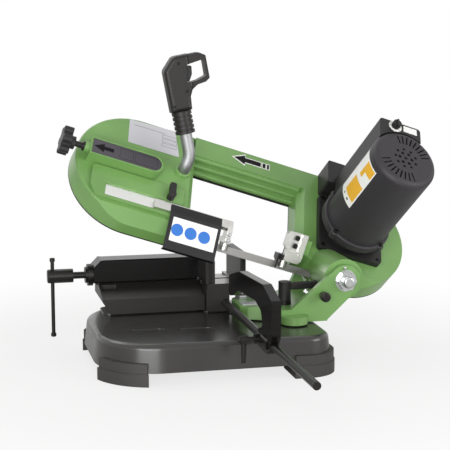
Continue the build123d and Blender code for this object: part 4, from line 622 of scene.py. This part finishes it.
SCREW_R = 0.0034
GUIDE_X, GUIDE_FRONT = 0.0425, 0.0330
BOLT_CIRCLE = 0.0618
FLANGE_CORNER = 0.0435      # from the motor's axis to the first screw's seat, along x and along y
facing_front = Matrix.Rotation(radians(90), 4, "X")
for count, z in enumerate((0.1325, 0.1430)):
    seat = raise_bow @ Matrix.Translation((GUIDE_X, GUIDE_FRONT, z)) @ facing_front
    socket_screw(f"guide_head_screw_{count}", SCREW_R, 0.0036, zinc_plate, "guide_arm", seat)
flange_face = face_height("motor_flange", MOTOR_X + FLANGE_CORNER, AXLE_Y + FLANGE_CORNER)
for count in range(4):
    turn = radians(45 + 90 * count)
    place = (MOTOR_X + BOLT_CIRCLE * cos(turn), AXLE_Y + BOLT_CIRCLE * sin(turn), flange_face)
    seat = bow_matrix @ Matrix.Translation(place)
    socket_screw(f"flange_screw_{count}", SCREW_R, 0.0030, black_steel, "bow", seat)
print("screws stand on the flange at", round(flange_face, 4))

# %% Weld bead
TUBE_X, TUBE_Y, TUBE_FOOT = -0.049, 0.233, 0.0782
BEAD_CENTRE = 0.0112
BEAD_R = 0.0017
start_clean()
bpy.ops.mesh.primitive_circle_add(
    vertices=12, radius=BEAD_R, location=(BEAD_CENTRE, 0, 0), rotation=(radians(90), 0, 0)
)
bead = bpy.context.object
bpy.ops.object.transform_apply(location=True, rotation=True, scale=True)
bpy.ops.object.mode_set(mode="EDIT")
bpy.ops.mesh.select_all(action="SELECT")
bpy.ops.mesh.spin(steps=40, angle=radians(360), center=(0, 0, 0), axis=(0, 0, 1))
bpy.ops.mesh.select_all(action="SELECT")
bpy.ops.mesh.remove_doubles(threshold=0.01 * MM)
bpy.ops.object.mode_set(mode="OBJECT")
bead_seat = bow_matrix @ Matrix.Translation((TUBE_X, TUBE_Y, TUBE_FOOT))
finish_piece(bead, "tube_weld_bead", green_enamel, "bow", bead_seat)
bpy.ops.object.shade_smooth()
print("weld bead round the tube")

# %% [markdown]
# ## Speed scale and control plate
# The knob on top of the control box turns over a white scale with seven ticks. Beside it sits a small
# white plate, left empty.

# %% Scale round the knob
DIAL_X, DIAL_Y = 0.2505, 0.280
dial_face = face_height("control_box", DIAL_X + 0.02, DIAL_Y)
on_controls = bow_matrix @ Matrix.Translation((0, 0, dial_face))
scale_disc = disc(DIAL_X, DIAL_Y, 0.0120)
print_on(scale_disc, UNDER_FILM, "dial_scale", white_film, on_controls)
for count in range(7):
    turn = radians(-45 + 45 * count)
    around = on_controls @ Matrix.Translation((DIAL_X, DIAL_Y, 0)) @ Matrix.Rotation(turn, 4, "Z")
    tick = film(0.0100, 0, 0.0026, 0.0007)
    print_on(tick, LABEL_FILM, f"dial_tick_{count}", black_ink, around)
small_plate = film(0.2785, 0.2805, 0.0250, 0.0130, corner=0.0008)
print_on(small_plate, UNDER_FILM, "control_plate", white_film, on_controls)
print("seven ticks round the dial")

# %% [markdown]
# ## Studio
# The object stands on a plain pale floor under soft light: one large lamp from the front left, a weaker
# one from the front right, a third from above and behind, and an even white sky. Light Path shows the
# camera a plain white sky, and a floor that fades into it, so the lamps can stay at a level where
# colours render as they are written.

# %% Floor
start_clean()
bpy.ops.mesh.primitive_plane_add(size=12, location=(0, 0, 0))
floor = bpy.context.object
floor.name = "studio_floor"
floor_material, shader = new_material("studio floor", "#E9E9E7", 0.9)
glow = add_node(floor_material, "ShaderNodeEmission", Color=(1, 1, 1, 1), Strength=1.0)
rays = add_node(floor_material, "ShaderNodeLightPath")
ground = surface_coordinates(floor_material)
distance = add_node(
    floor_material, "ShaderNodeVectorMath", links=[(ground, 0)], settings=[("operation", "LENGTH")]
)
fade = add_node(
    floor_material, "ShaderNodeMapRange", links=[(distance.outputs["Value"], "Value")],
    settings=[("interpolation_type", "SMOOTHSTEP")], From_Min=0.30, From_Max=0.85, To_Min=0.75, To_Max=1.0,
)
share = add_node(
    floor_material, "ShaderNodeMath", settings=[("operation", "MULTIPLY")],
    links=[(rays.outputs["Is Camera Ray"], 0), (fade.outputs["Result"], 1)],
)
blend = add_node(
    floor_material, "ShaderNodeMixShader",
    links=[(share.outputs["Value"], 0), (shader.outputs["BSDF"], 1), (glow.outputs["Emission"], 2)],
)
surface = floor_material.node_tree.nodes["Material Output"]
link(floor_material, blend.outputs["Shader"], surface, "Surface")
floor.data.materials.append(floor_material)
print("floor", [round(size, 2) for size in floor.dimensions])

# %% Sky
SKY_LIGHT = 0.42
world = bpy.data.worlds.new("studio sky")
bpy.context.scene.world = world
world.use_nodes = True
sky = world.node_tree.nodes["Background"]
sky.inputs["Color"].default_value = (1, 1, 1, 1)
paths = add_node(world, "ShaderNodeLightPath")
seen = add_node(
    world, "ShaderNodeMath", settings=[("operation", "MAXIMUM")],
    links=[(paths.outputs["Is Camera Ray"], 0), (paths.outputs["Is Transmission Ray"], 1)],
)
seen_or_mirrored = add_node(
    world, "ShaderNodeMath", settings=[("operation", "MAXIMUM")],
    links=[(seen.outputs["Value"], 0), (paths.outputs["Is Glossy Ray"], 1)],
)
link(world, spread(world, seen_or_mirrored.outputs["Value"], SKY_LIGHT, 1.0), sky, "Strength")
print("sky lights at", SKY_LIGHT, "and shows at 1")


# %% Lamps
def soft_lamp(name, place, target, width, height, power):
    """A rectangular soft box that faces a point."""
    start_clean()
    bpy.ops.object.light_add(type="AREA", location=place)
    lamp = bpy.context.object
    lamp.name = name
    lamp.data.shape = "RECTANGLE"
    lamp.data.size = width
    lamp.data.size_y = height
    lamp.data.energy = power
    lamp.rotation_euler = (Vector(target) - Vector(place)).to_track_quat("-Z", "Y").to_euler()
    return lamp


heart = (0.05, 0.05, 0.2)
soft_lamp("key_lamp", (-0.9, -2.1, 0.5), heart, 1.6, 1.0, 37)
soft_lamp("fill_lamp", (1.7, -1.5, 0.7), heart, 1.2, 1.0, 18)
soft_lamp("top_lamp", (-0.6, 1.2, 1.8), heart, 1.6, 0.8, 9)
print("three soft lamps")

# %% [markdown]
# ## Camera
# A long lens from the front left, a little above the table, keeps the perspective mild. A camera
# turned by 90 degrees about X looks level along +Y; the rest of its turn is the view's azimuth and
# elevation.

# %% Camera
AZIMUTH = radians(-13.2)
ELEVATION = radians(8.89)
start_clean()
bpy.ops.object.camera_add(
    location=(-0.437, -2.035, 0.550), rotation=(radians(90) - ELEVATION, 0, AZIMUTH)
)
camera = bpy.context.object
camera.name = "view_camera"
camera.data.sensor_width = 36
camera.data.lens = 102.4
camera.data.dof.use_dof = False
bpy.context.scene.camera = camera
bpy.context.scene.view_settings.view_transform = "Standard"
print("camera lens", camera.data.lens, "mm")
